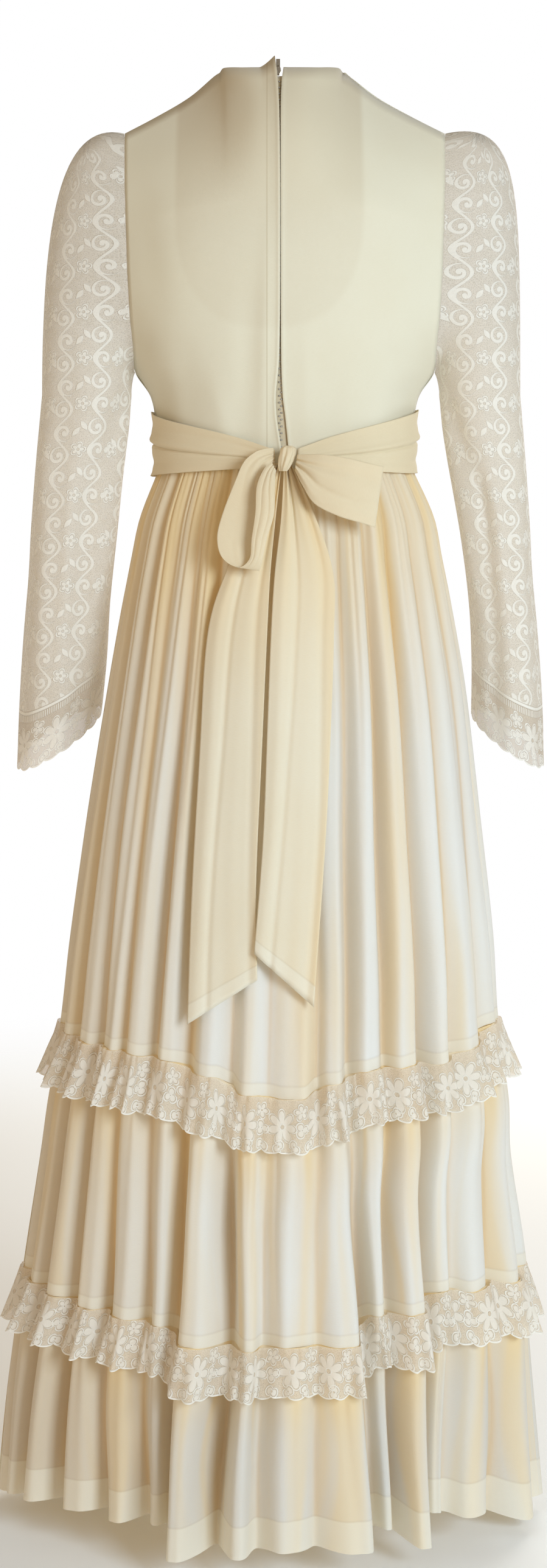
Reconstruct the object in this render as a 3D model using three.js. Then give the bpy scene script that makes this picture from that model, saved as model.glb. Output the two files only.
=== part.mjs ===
// A tiered prairie dress as it hangs on its wearer, who faces +Y.
// Sizes are in millimetres. Z is up, and the origin is at the centre of the neck, level with the tops
// of the shoulders.
import * as THREE from "three";

const CLOTH = 1.2; // wall of the main cloth
const LACE = 1.1; // wall of the lace
const SEAM = 0.3; // gap between two sewn pieces
const RAD = Math.PI / 180;

const COLORS = {
  voile: 0xefe4c8,
  sash: 0xe8d4ad,
  lace: 0xe9e4da,
  zip: 0x9a948c,
};

const dress = new THREE.Group();
dress.name = "prairie_dress";

// ---------- tables and small maths ----------

const lerp = (a, b, t) => a + (b - a) * t;
const clamp01 = (t) => Math.min(1, Math.max(0, t));
const smooth = (t) => clamp01(t) * clamp01(t) * (3 - 2 * clamp01(t));

// Reads one named column of a table at a place along its key column, as a smooth curve through the rows.
function read(table, key, column, at) {
  const sign = Math.sign(table[table.length - 1][key] - table[0][key]);
  const last = table.length - 2;
  let i = 0;
  while (i < last && sign * at > sign * table[i + 1][key]) i++;
  const k = (n) => table[Math.min(last + 1, Math.max(0, n))];
  const slope = (n) => {
    const before = k(n - 1);
    const after = k(n + 1);
    return (after[column] - before[column]) / (after[key] - before[key]);
  };
  const width = k(i + 1)[key] - k(i)[key];
  const t = clamp01((at - k(i)[key]) / width);
  const h = t * t * (3 - 2 * t);
  const bend =
    (t * t * t - 2 * t * t + t) * slope(i) + (t * t * t - t * t) * slope(i + 1);
  return lerp(k(i)[column], k(i + 1)[column], h) + bend * width;
}

// ---------- cloth walls ----------

// The normal and mitre of each point of a grid of points, for a wall that keeps its thickness at a bend.
function gridNormals(grid, closed) {
  const rows = grid.length;
  const cols = grid[0].length;
  const sums = grid.map((row) => row.map(() => []));
  const spans = closed ? cols : cols - 1;
  for (let r = 0; r < rows - 1; r++)
    for (let c = 0; c < spans; c++) {
      const d = (c + 1) % cols;
      const across = grid[r + 1][d].clone().sub(grid[r][c]);
      const down = grid[r + 1][c].clone().sub(grid[r][d]);
      const n = down.cross(across).normalize();
      for (const [i, j] of [
        [r, c],
        [r, d],
        [r + 1, c],
        [r + 1, d],
      ])
        sums[i][j].push(n);
    }
  return sums.map((row) =>
    row.map((faces) => {
      const n = faces
        .reduce((a, b) => a.add(b), new THREE.Vector3())
        .normalize();
      const mean = faces.reduce((a, b) => a + b.dot(n), 0) / faces.length;
      return n.multiplyScalar(1 / Math.max(mean, 0.62));
    }),
  );
}

function moved(grid, distance, closed) {
  const normals = gridNormals(grid, closed);
  return grid.map((row, r) =>
    row.map((p, c) => p.clone().addScaledVector(normals[r][c], distance)),
  );
}

// One closed wall from a grid of outer points. Rows run down the cloth, and columns run so that the faces
// look out.
// joint says which points lie on a seam across Y, where the wall's two faces keep the same y.
function addWall(name, grid, thickness, color, joint = "none", closed = false) {
  const inner = moved(grid, -thickness, closed);
  const rows = grid.length;
  const cols = grid[0].length;
  const onJoint = {
    none: () => false,
    ends: (p, c) => c === 0 || c === cols - 1,
    middle: (p) => Math.abs(p.y) < 0.3,
  }[joint];
  grid.forEach((row, r) =>
    row.forEach((p, c) => {
      if (onJoint(p, c)) inner[r][c].y = p.y;
    }),
  );
  const points = [...grid.flat(), ...inner.flat()];
  const out = (r, c) => r * cols + (c % cols);
  const back = (r, c) => rows * cols + out(r, c);
  const index = [];
  const quad = (a, b, c, d) => index.push(a, b, c, a, c, d);
  const spans = closed ? cols : cols - 1;
  for (let r = 0; r < rows - 1; r++)
    for (let c = 0; c < spans; c++) {
      quad(out(r, c), out(r + 1, c), out(r + 1, c + 1), out(r, c + 1));
      quad(back(r, c), back(r, c + 1), back(r + 1, c + 1), back(r + 1, c));
    }
  for (let c = 0; c < spans; c++) {
    quad(out(0, c), out(0, c + 1), back(0, c + 1), back(0, c));
    const r = rows - 1;
    quad(out(r, c), back(r, c), back(r, c + 1), out(r, c + 1));
  }
  if (!closed)
    for (let r = 0; r < rows - 1; r++) {
      quad(out(r, 0), back(r, 0), back(r + 1, 0), out(r + 1, 0));
      const c = cols - 1;
      quad(out(r, c), out(r + 1, c), back(r + 1, c), back(r, c));
    }
  const geometry = new THREE.BufferGeometry();
  geometry.setAttribute(
    "position",
    new THREE.Float32BufferAttribute(points.flatMap((p) => p.toArray()), 3),
  );
  geometry.setIndex(index);
  return addMesh(name, geometry, color);
}

function addMesh(name, geometry, color, metalness = 0) {
  const material = new THREE.MeshStandardMaterial({
    color,
    roughness: metalness ? 0.3 : 0.95,
    metalness,
  });
  const mesh = new THREE.Mesh(geometry, material);
  mesh.name = name;
  dress.add(mesh);
  return mesh;
}

// ---------- bodice ----------

// Rows of the back and front bodice up to the shoulder blades. zMid and deep are at the centre, the edge columns
// are on the side seam and then on the armhole, and round is the power of the curve between them.
const BACK_ROWS = [
  { row: 0, zMid: -393.2, deep: 88, edgeZ: -393.2, edgeX: 125, edgeY: 0.2, round: 0.5 },
  { row: 1, zMid: -352, deep: 88, edgeZ: -352, edgeX: 126, edgeY: 0.2, round: 0.5 },
  { row: 2, zMid: -322, deep: 91, edgeZ: -322, edgeX: 131, edgeY: 0.2, round: 0.5 },
  { row: 3, zMid: -290, deep: 95, edgeZ: -298, edgeX: 146, edgeY: 0.2, round: 0.52 },
  { row: 4, zMid: -262, deep: 98, edgeZ: -276, edgeX: 147, edgeY: 24, round: 0.56 },
  { row: 5, zMid: -228, deep: 100, edgeZ: -248, edgeX: 149, edgeY: 43, round: 0.64 },
  { row: 6, zMid: -185, deep: 101, edgeZ: -210, edgeX: 151, edgeY: 51, round: 0.74 },
  { row: 7, zMid: -135, deep: 98, edgeZ: -160, edgeX: 153, edgeY: 46, round: 0.85 },
];
const FRONT_ROWS = [
  { row: 0, zMid: -393.2, deep: 92, edgeZ: -393.2, edgeX: 125, edgeY: 0.2, round: 0.5 },
  { row: 1, zMid: -352, deep: 94, edgeZ: -352, edgeX: 126, edgeY: 0.2, round: 0.5 },
  { row: 2, zMid: -322, deep: 99, edgeZ: -322, edgeX: 131, edgeY: 0.2, round: 0.5 },
  { row: 3, zMid: -290, deep: 107, edgeZ: -298, edgeX: 146, edgeY: 0.2, round: 0.52 },
  { row: 4, zMid: -262, deep: 114, edgeZ: -276, edgeX: 145, edgeY: 24, round: 0.58 },
  { row: 5, zMid: -228, deep: 118, edgeZ: -248, edgeX: 143, edgeY: 43, round: 0.66 },
  { row: 6, zMid: -185, deep: 115, edgeZ: -210, edgeX: 143, edgeY: 52, round: 0.78 },
  { row: 7, zMid: -135, deep: 104, edgeZ: -160, edgeX: 146, edgeY: 47, round: 0.9 },
];

// The top edge from the centre of the neck (at 0) over the neck point (at 0.37) to the shoulder's tip (at 1).
const BACK_TOP = [
  { at: 0, x: 0, y: 58, z: -9 },
  { at: 0.2, x: 31, y: 51, z: -8 },
  { at: 0.32, x: 52, y: 24, z: -4 },
  { at: 0.37, x: 57, y: 0.2, z: -4 },
  { at: 0.6, x: 91, y: 0.2, z: -29 },
  { at: 0.8, x: 124, y: 0.2, z: -47.5 },
  { at: 1, x: 156.5, y: 0.2, z: -64 },
];
const FRONT_TOP = [
  { at: 0, x: 0, y: 68, z: -62 },
  { at: 0.2, x: 32, y: 58, z: -50 },
  { at: 0.32, x: 53, y: 30, z: -24 },
  { at: 0.37, x: 57, y: 0.2, z: -4 },
  { at: 0.6, x: 91, y: 0.2, z: -29 },
  { at: 0.8, x: 124, y: 0.2, z: -47.5 },
  { at: 1, x: 156.5, y: 0.2, z: -64 },
];
const YOKE_SWELL = { deep: 15, rise: 2 }; // the round of the shoulder between the last row and the top edge

// The slit down the centre back: x of the lap's edge and of the edge beside it.
const SLIT = [
  { z: 6, lap: -13, side: 4 },
  { z: -11, lap: -9.5, side: -2 },
  { z: -26, lap: -7, side: -3.4 },
  { z: -200, lap: -5.4, side: -3.6 },
  { z: -290, lap: -6.5, side: -3.2 },
  { z: -325, lap: -9.3, side: -2 },
  { z: -345, lap: -8, side: 0 },
  { z: -376, lap: -3.4, side: 3 },
  { z: -394, lap: -3, side: 3.4 },
];

const BODICE_ROWS = [0, 1, 2, 3, 4, 5, 6, 7, 7.4, 7.75, 8];
const HALF_COLUMNS = [0, 0.1, 0.2, 0.32, 0.37, 0.48, 0.6, 0.7, 0.8, 0.9, 1];

// A point of the bodice: row runs up to 8 at the top edge, at runs from the centre (0) to the outer edge (1),
// side is 1 for the wearer's right and facing is -1 for the back.
function bodicePoint(rows, top, row, at, side, facing, lap) {
  const body = Math.min(row, 7);
  const mid = {
    z: read(rows, "row", "zMid", body),
    deep: read(rows, "row", "deep", body),
    edgeZ: read(rows, "row", "edgeZ", body),
    edgeX: read(rows, "row", "edgeX", body),
    edgeY: read(rows, "row", "edgeY", body),
    round: read(rows, "row", "round", body),
  };
  let x = mid.edgeX * at;
  let y =
    mid.edgeY + (mid.deep - mid.edgeY) * (1 - at * at) ** mid.round;
  let z = lerp(mid.z, mid.edgeZ, at * at);
  if (row > 7) {
    const up = row - 7;
    x = lerp(x, read(top, "at", "x", at), up);
    const swell = Math.sin(Math.PI * up) * (1 - 0.35 * at);
    const topY = Math.max(0.2, read(top, "at", "y", at));
    y = lerp(y, topY, up) + YOKE_SWELL.deep * swell;
    z = lerp(z, read(top, "at", "z", at), up) + YOKE_SWELL.rise * swell;
  }
  if (lap) x += (1 - at) * side * read(SLIT, "z", lap, z);
  return new THREE.Vector3(side * x, facing * y, z);
}

function halfGrid(rows, top, side, facing, lap) {
  return BODICE_ROWS.map((row) =>
    HALF_COLUMNS.map((at) => bodicePoint(rows, top, row, at, side, facing, lap)),
  ).reverse();
}

const turned = (grid) => grid.map((row) => [...row].reverse());

const backRight = halfGrid(BACK_ROWS, BACK_TOP, 1, -1, "side");
const backLeft = halfGrid(BACK_ROWS, BACK_TOP, -1, -1, "lap");
const LIFTED_CORNER = 11; // the lap's top corner stands up
backLeft[0][0].z += LIFTED_CORNER;
backLeft[0][1].z += LIFTED_CORNER * 0.25;
addWall("bodice_back_right", backRight, CLOTH, COLORS.voile, "middle");
addWall("bodice_back_left", turned(backLeft), CLOTH, COLORS.voile, "middle");

const frontRight = halfGrid(FRONT_ROWS, FRONT_TOP, 1, 1);
const frontLeft = halfGrid(FRONT_ROWS, FRONT_TOP, -1, 1);
const front = frontRight.map((row, r) => [
  ...[...row].reverse(),
  ...frontLeft[r].slice(1),
]);
addWall("bodice_front", front, CLOTH, COLORS.voile, "middle");

// The zip's tape behind the slit.
const TAPE = { left: -15, right: 9, top: -18, bottom: -384, behind: 2.2, neckBehind: 4.2, wall: 1, rows: 14 };
const centreBack = (z) => {
  const line = BODICE_ROWS.map((row) => {
    const p = bodicePoint(BACK_ROWS, BACK_TOP, row, 0, 1, -1);
    return { z: p.z, y: p.y };
  });
  return read(line, "z", "y", z);
};
const tapeY = (z) =>
  centreBack(z) + lerp(TAPE.behind, TAPE.neckBehind, smooth((z + 150) / 110));
const tape = [];
for (let i = 0; i <= TAPE.rows; i++) {
  const z = lerp(TAPE.top, TAPE.bottom, i / TAPE.rows);
  const y = tapeY(z);
  tape.push([
    new THREE.Vector3(TAPE.left, y + 0.6, z),
    new THREE.Vector3((TAPE.left + TAPE.right) / 2, y, z),
    new THREE.Vector3(TAPE.right, y + 0.6, z),
  ]);
}
addWall("zip_tape", tape, TAPE.wall, COLORS.voile);

// The zip's slider, with its pull tab standing up in the top of the slit.
const SLIDER = { x: -6.6, z: -14, wide: 5.4, tall: 8, tab: 3.8, tabTall: 11, thick: 2.2, hole: 0.9 };
const plate = new THREE.Shape();
plate.moveTo(-SLIDER.wide / 2 + 1.4, -SLIDER.tall / 2);
plate.lineTo(SLIDER.wide / 2 - 1.4, -SLIDER.tall / 2);
plate.lineTo(SLIDER.wide / 2, 0);
plate.lineTo(SLIDER.wide / 2 - 0.4, SLIDER.tall / 2);
plate.lineTo(SLIDER.tab / 2, SLIDER.tall / 2 + 0.6);
plate.lineTo(SLIDER.tab / 2, SLIDER.tall / 2 + SLIDER.tabTall);
plate.lineTo(-SLIDER.tab / 2, SLIDER.tall / 2 + SLIDER.tabTall);
plate.lineTo(-SLIDER.tab / 2, SLIDER.tall / 2 + 0.6);
plate.lineTo(-SLIDER.wide / 2 + 0.4, SLIDER.tall / 2);
plate.lineTo(-SLIDER.wide / 2, 0);
const eye = new THREE.Path();
eye.absarc(0, SLIDER.tall / 2 + 2, SLIDER.hole, 0, 2 * Math.PI, true);
plate.holes.push(eye);
const slider = new THREE.ExtrudeGeometry(plate, {
  depth: SLIDER.thick,
  bevelEnabled: false,
  curveSegments: 5,
});
slider.rotateX(Math.PI / 2);
slider.rotateX(Math.atan2(tapeY(-50) - tapeY(-20), 30));
slider.translate(SLIDER.x, tapeY(SLIDER.z) - 2 * SEAM, SLIDER.z);
addMesh("zip_slider", slider, COLORS.zip, 1);

// ---------- skirt ----------

// Rings of the skirt from the waist down: half width, half depth, the middle's x, and the depth of its folds.
const SKIRT_RINGS = [
  { z: -393.8, wide: 125, deep: 88, middle: 1, fold: 3 },
  { z: -439, wide: 144, deep: 101, middle: 2, fold: 5 },
  { z: -477, wide: 152, deep: 110, middle: 1.5, fold: 6.5 },
  { z: -521, wide: 160.5, deep: 119, middle: 1.5, fold: 8 },
  { z: -610, wide: 175.5, deep: 131, middle: 1.5, fold: 11 },
  { z: -737, wide: 193, deep: 141, middle: -1.5, fold: 14 },
  { z: -849, wide: 207, deep: 148, middle: -3, fold: 17 },
  { z: -928, wide: 214, deep: 154, middle: -5, fold: 19 },
  { z: -1005, wide: 226, deep: 164, middle: -6, fold: 22 },
  { z: -1060, wide: 230, deep: 170, middle: -9, fold: 24 },
  { z: -1168, wide: 245, deep: 181, middle: -10, fold: 28 },
  { z: -1282, wide: 256.5, deep: 191, middle: -14, fold: 32 },
  { z: -1390, wide: 265.5, deep: 199, middle: -14.5, fold: 36 },
];

// The valleys between folds, as angles from the centre back in degrees at the waist, the two tier seams and
// the hem, and the share of the ring's fold depth that each has in the three tiers. The fold after each valley
// stands out by a length at the hem, leans by an angle, and lifts the two seams and the hem.
const VALLEY_COLUMNS = [
  "waist", "seam1", "seam2", "hem", "upper", "middle", "lower", "out", "lean", "lift1", "lift2", "lift3",
];
const VALLEYS = [
  [-82, -80, -80, -78, 0.6, 0.8, 0.8, 0, 0, -3, 0, 16],
  [-68, -67, -67, -67, 0.7, 0.9, 0.9, -4, 0, 0, 0, 18],
  [-56, -55, -55, -55.5, 0.9, 0.8, 1, -16, 0, 6, 0, 16],
  [-45, -45, -43.8, -40.5, 0.6, 0.9, 0.9, -20, 0, 10, 2, 11],
  [-35, -35, -31.7, -29.5, 0.9, 0.6, 0.7, -20, 0.8, 14, 4, 12],
  [-25, -25, -24, -21.8, 1, 1, 1, 14, -1.8, 8, -4, -8],
  [-15, -13, -10, -11.8, 0.7, 1.3, 1.3, 7, 0.8, -5, -4, -6],
  [-4, -3, -2.5, -2.5, 0.5, 0.6, 0.6, 6, 0, -8, 0, 0],
  [7, 9.5, 9.5, 9.5, 0.8, 0.5, 0.6, 8, 2, 3, -3, -2],
  [19, 18, 20.8, 23, 1, 1.3, 1, -20, 0, 10, 16, 8],
  [30, 28.5, 27.2, 28.5, 1, 0.8, 0.8, 3, 0.8, 5, 14, -5],
  [41, 40.5, 37.5, 35.5, 1.4, 1.2, 0.9, -20, 0, -4, 22, 17],
  [54, 52, 47, 42, 0.8, 0.6, 0.5, -12, -2, -4, 12, 10],
  [69, 68, 65, 63, 0.8, 0.9, 1, 0, 1, 5, 0, -8],
  [84, 82, 82, 81, 0.6, 0.7, 0.7, 0, 0, 0, 0, -5],
  [98, 98, 97, 99, 0.9, 0.9, 0.9, -5, -1, 3, 4, 6],
  [114, 114, 113, 114, 0.7, 0.8, 0.8, 4, 1, -2, 0, -3],
  [130, 130, 131, 131, 1, 1, 1.1, -6, 0, 4, 6, 8],
  [147, 147, 147, 146, 0.8, 0.7, 0.8, 3, 1.5, -3, -2, 0],
  [163, 163, 162, 162, 1, 1.1, 1.1, 6, -1, 2, 0, -4],
  [179, 179, 180, 181, 0.7, 0.8, 0.8, 0, 0, 0, 3, 4],
  [196, 196, 196, 195, 0.9, 0.9, 1, -5, 1.2, 3, -2, 3],
  [212, 212, 213, 214, 0.8, 1, 0.9, 5, -1, -3, 4, -5],
  [229, 229, 228, 228, 1, 0.8, 1, -6, 0, 4, 0, 7],
  [245, 245, 246, 246, 0.7, 0.9, 0.8, 3, 1, 0, 3, -3],
  [261, 263, 263, 264, 0.7, 0.8, 0.8, 0, 0, -2, 0, 5],
].map((row) => Object.fromEntries(row.map((value, index) => [VALLEY_COLUMNS[index], value])));
const FOLD_COUNT = VALLEYS.length;
const SIDE_RIGHT = 14.4; // the fold place of the side seams: on the crest nearest to each side
const SIDE_LEFT = 25.4;
const SPANS_PER_FOLD = 5;
const VALLEY_POWER = 1.3;

// Each tier: heights of its top and bottom at the sides, how far these drop at the centre back, the columns of
// the valley table at its ends, its share column, how many rows of quads it has, its lift columns, and how
// much of the folds' own step and lean it has at its top and bottom.
const TIERS = [
  {
    top: -393.8,
    topDrop: 0,
    bottom: -928,
    bottomDrop: 40,
    from: "waist",
    to: "seam1",
    share: "upper",
    rows: 4,
    liftBottom: "lift1",
    grownTop: 0,
    grownBottom: 0,
  },
  {
    top: -928,
    topDrop: 40,
    bottom: -1168,
    bottomDrop: 27,
    from: "seam1",
    to: "seam2",
    share: "middle",
    rows: 3,
    liftTop: "lift1",
    liftBottom: "lift2",
    grownTop: 0,
    grownBottom: 0.6,
  },
  {
    top: -1168,
    topDrop: 27,
    bottom: -1388,
    bottomDrop: -14,
    from: "seam2",
    to: "hem",
    share: "lower",
    rows: 3,
    liftTop: "lift2",
    liftBottom: "lift3",
    grownTop: 0.6,
    grownBottom: 1,
  },
];

const valleyAt = (index, column) => {
  const turns = Math.floor(index / FOLD_COUNT);
  const row = VALLEYS[index - turns * FOLD_COUNT];
  const isAngle = column === "waist" || column.startsWith("seam") || column === "hem";
  return row[column] + (isAngle ? 360 * turns : 0);
};

// A fold's own value: level over its middle, and halfway to its neighbour's in each valley.
const FOLD_BLEND = 0.3;
const foldAt = (index, part, column) => {
  const own = valleyAt(index, column);
  const near = (own + valleyAt(part < 0.5 ? index - 1 : index + 1, column)) / 2;
  return lerp(near, own, smooth(Math.min(part, 1 - part) / FOLD_BLEND));
};

// A point of a tier: along runs from its top (0) to its bottom (1), place is a fold number with its share,
// and shallow scales the folds' depth, for what lies on the tier.
function tierPoint(tier, along, place, moveOut = 0, shallow = 1) {
  const index = Math.floor(place);
  const part = place - index;
  const angleAt = (n) =>
    lerp(valleyAt(n, tier.from), valleyAt(n, tier.to), smooth(along));
  const valley = ((1 + Math.cos(2 * Math.PI * part)) / 2) ** VALLEY_POWER;
  const grown = lerp(tier.grownTop, tier.grownBottom, along);
  const lean = foldAt(index, part, "lean") * (1 - valley) * grown;
  const angle = (lerp(angleAt(index), angleAt(index + 1), part) + lean) * RAD;
  const sag = Math.cos(angle) ** 2;
  const liftTop = tier.liftTop ? foldAt(index, part, tier.liftTop) : 0;
  const z = lerp(
    tier.top - tier.topDrop * sag + liftTop,
    tier.bottom - tier.bottomDrop * sag + foldAt(index, part, tier.liftBottom),
    along,
  );
  const level = lerp(tier.top, tier.bottom, along);
  const wide = read(SKIRT_RINGS, "z", "wide", level);
  const deep = read(SKIRT_RINGS, "z", "deep", level);
  const middle = read(SKIRT_RINGS, "z", "middle", level);
  const share = valleyAt(part < 0.5 ? index : index + 1, tier.share);
  const before = TIERS[TIERS.indexOf(tier) - 1];
  const above = before
    ? valleyAt(part < 0.5 ? index : index + 1, before.share)
    : share;
  const depth =
    read(SKIRT_RINGS, "z", "fold", level) * lerp(above, share, smooth(along * 1.6));
  const out = new THREE.Vector2(
    Math.sin(angle) / wide,
    -Math.cos(angle) / deep,
  ).normalize();
  const step = foldAt(index, part, "out") * grown;
  const shift = moveOut + step - shallow * depth * valley;
  return new THREE.Vector3(
    middle + wide * Math.sin(angle) + out.x * shift,
    -deep * Math.cos(angle) + out.y * shift,
    z,
  );
}

// A panel of a tier between two fold places, with half a seam's gap taken off each end.
function tierPanel(tier, from, to, spansPerFold, rows) {
  const spans = Math.round((to - from) * spansPerFold);
  const grid = [];
  for (let r = 0; r <= rows; r++) {
    const line = [];
    const step = SEAM / (tier.top - tier.bottom);
    const along = lerp(tier === TIERS[0] ? 0 : step, 1, r / rows);
    for (let c = 0; c <= spans; c++) {
      let place = lerp(from, to, c / spans);
      if (c === 0) place += 0.008;
      if (c === spans) place -= 0.008;
      line.push(tierPoint(tier, along, place));
    }
    grid.push(line);
  }
  return grid;
}

TIERS.forEach((tier, i) => {
  const name = "skirt_tier" + (i + 1);
  const back = tierPanel(tier, SIDE_LEFT - FOLD_COUNT, SIDE_RIGHT, SPANS_PER_FOLD, tier.rows);
  const frontPanel = tierPanel(tier, SIDE_RIGHT, SIDE_LEFT, SPANS_PER_FOLD, tier.rows);
  addWall(name + "_back", back, CLOTH, COLORS.voile, "ends");
  addWall(name + "_front", frontPanel, CLOTH, COLORS.voile, "ends");
});

// ---------- ruffles ----------

// A ruffle is sewn over the top of the tier it hangs on. Its waves open towards its scalloped edge.
const RUFFLE = {
  clear: 2.4,
  flare: 9,
  wave: 11,
  uneven: 2.4,
  drop: 51,
  wavesPerFold: 2,
  spansPerWave: 4,
  topShallow: 0.7,
  lowShallow: 0.55,
};

function rufflePanel(tier, from, to) {
  const spans = Math.round(
    (to - from) * RUFFLE.wavesPerFold * RUFFLE.spansPerWave,
  );
  const grid = [];
  for (let r = 0; r <= 1; r++) {
    const line = [];
    for (let c = 0; c <= spans; c++) {
      let place = lerp(from, to, c / spans);
      if (c === 0) place += 0.008;
      if (c === spans) place -= 0.008;
      const wave = (1 - Math.cos(2 * Math.PI * RUFFLE.wavesPerFold * (place + 0.13))) / 2;
      const along = (r * RUFFLE.drop) / (tier.top - tier.bottom);
      const height = RUFFLE.wave * (0.75 + 0.25 * Math.sin(RUFFLE.uneven * place));
      const moveOut = RUFFLE.clear + r * (RUFFLE.flare + height * (wave - 0.5));
      line.push(
        tierPoint(tier, along, place, moveOut, lerp(RUFFLE.topShallow, RUFFLE.lowShallow, r)),
      );
    }
    grid.push(line);
  }
  return grid;
}

[TIERS[1], TIERS[2]].forEach((tier, i) => {
  const name = "ruffle" + (i + 1);
  addWall(name + "_back", rufflePanel(tier, SIDE_LEFT - FOLD_COUNT, SIDE_RIGHT), LACE, COLORS.lace, "ends");
  addWall(name + "_front", rufflePanel(tier, SIDE_RIGHT, SIDE_LEFT), LACE, COLORS.lace, "ends");
});

// ---------- sleeves and cuffs ----------

// Rings of each sleeve below the armhole: the middle's distance from the dress's middle and towards the front,
// half width and half depth, and how the ring slopes up towards the body and towards the front.
const SLEEVE_LEFT = [
  { ring: 1, z: -320, out: 193.7, fore: 2, wide: 43.7, deep: 49, slope: 0, rise: 0 },
  { ring: 2, z: -390, out: 200.9, fore: 6, wide: 43.7, deep: 48, slope: 0.12, rise: 0.05 },
  { ring: 3, z: -470, out: 208.5, fore: 16, wide: 43.4, deep: 46, slope: 0.28, rise: 0.14 },
  { ring: 4, z: -540, out: 216, fore: 31, wide: 43.5, deep: 45, slope: 0.44, rise: 0.22 },
  { ring: 5, z: -603, out: 220.8, fore: 47, wide: 44, deep: 45, slope: 0.56, rise: 0.3 },
  { ring: 6, z: -661, out: 225.5, fore: 62, wide: 42.5, deep: 43, slope: 0.63, rise: 0.32 },
];
const SLEEVE_RIGHT = [
  { ring: 1, z: -320, out: 190.8, fore: 2, wide: 39.6, deep: 46, slope: 0, rise: 0 },
  { ring: 2, z: -390, out: 198.5, fore: 6, wide: 38.3, deep: 44, slope: 0.12, rise: 0.05 },
  { ring: 3, z: -470, out: 208.5, fore: 16, wide: 35, deep: 42, slope: 0.28, rise: 0.14 },
  { ring: 4, z: -540, out: 217, fore: 31, wide: 34.5, deep: 41, slope: 0.44, rise: 0.22 },
  { ring: 5, z: -603, out: 221.8, fore: 47, wide: 35.5, deep: 41, slope: 0.56, rise: 0.3 },
  { ring: 6, z: -661, out: 223.5, fore: 62, wide: 36.5, deep: 41, slope: 0.66, rise: 0.32 },
];
const CUFF_RING = 5; // the cuff's band runs from this ring to the last one
// The caps' pull on the curve from armhole to first ring, at the shoulder, at mid armhole and under the arm.
const CAP_LEFT = [
  { at: 0, outward: 68, upward: 16, above: 152 },
  { at: 0.25, outward: 24, upward: 2, above: 70 },
  { at: 0.5, outward: 2, upward: -3, above: 9 },
];
const CAP_RIGHT = [
  { at: 0, outward: 77, upward: 17, above: 198 },
  { at: 0.25, outward: 24, upward: 2, above: 70 },
  { at: 0.5, outward: 2, upward: -3, above: 9 },
];
const ARM_COLUMNS = 24;
const SCALLOP = { count: 6, depth: 3 };

// The armhole's edge as sewn: at runs from the shoulder's tip (0) down the back to the underarm (0.5) and
// up the front.
function armholePoint(at, side) {
  const fromTop = at < 0.5 ? at : 1 - at;
  const rows = at < 0.5 ? BACK_ROWS : FRONT_ROWS;
  const top = at < 0.5 ? BACK_TOP : FRONT_TOP;
  const facing = at < 0.5 ? -1 : 1;
  const row = lerp(8, 3, (fromTop / 0.5) ** 0.8);
  const p = bodicePoint(rows, top, row, 1, side, facing);
  p.x += side * 0.5;
  return p;
}

function sleeveRing(table, ring, at, side) {
  const angle = 2 * Math.PI * at;
  const wide = read(table, "ring", "wide", ring);
  const across = Math.cos(angle) * wide;
  const fore = -Math.sin(angle) * read(table, "ring", "deep", ring);
  return new THREE.Vector3(
    side * (read(table, "ring", "out", ring) + across),
    read(table, "ring", "fore", ring) + fore,
    read(table, "ring", "z", ring) -
      across * read(table, "ring", "slope", ring) +
      fore * read(table, "ring", "rise", ring),
  );
}

function sleevePoint(table, ring, at, side) {
  if (ring >= 1) return sleeveRing(table, ring, at, side);
  const start = armholePoint(at, side);
  const end = sleeveRing(table, 1, at, side);
  const near = at < 0.5 ? at : 1 - at;
  const pull = (column) => read(side < 0 ? CAP_LEFT : CAP_RIGHT, "at", column, near);
  const lead = start
    .clone()
    .add(new THREE.Vector3(side * pull("outward"), 0, pull("upward")));
  const tail = end.clone().add(new THREE.Vector3(0, 0, pull("above")));
  return new THREE.CubicBezierCurve3(start, lead, tail, end).getPoint(ring);
}

// The pieces of a sleeve, each a tube with its rings: cap, upper arm, forearm and the cuff's scalloped band.
const SLEEVE_PIECES = [
  { name: "sleeve_cap_", rings: [0, 0.15, 0.35, 0.6, 1] },
  { name: "sleeve_upper_", rings: [1, 1.7, 2.5, 3] },
  { name: "sleeve_fore_", rings: [3, 3.6, 4.2, CUFF_RING] },
  { name: "cuff_", rings: [CUFF_RING, 5.5, 6] },
];
const places = Array.from({ length: ARM_COLUMNS }, (_, c) => c / ARM_COLUMNS);
[
  ["left", SLEEVE_LEFT, -1],
  ["right", SLEEVE_RIGHT, 1],
].forEach(([word, table, side]) => {
  SLEEVE_PIECES.forEach((piece) => {
    const last = piece.rings.length - 1;
    const tube = piece.rings.map((ring, r) =>
      places.map((at) => {
        const p = sleevePoint(table, ring, at, side);
        if (r === 0 && ring > 0) p.z -= SEAM / 2;
        if (r === last && ring < 6) p.z += SEAM / 2;
        if (ring === 6)
          p.z -= (SCALLOP.depth * (1 - Math.cos(2 * Math.PI * SCALLOP.count * at))) / 2;
        return p;
      }),
    );
    addWall(piece.name + word, side < 0 ? tube : turned(tube), LACE, COLORS.lace, "none", true);
  });
});

// ---------- sash ----------

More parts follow.
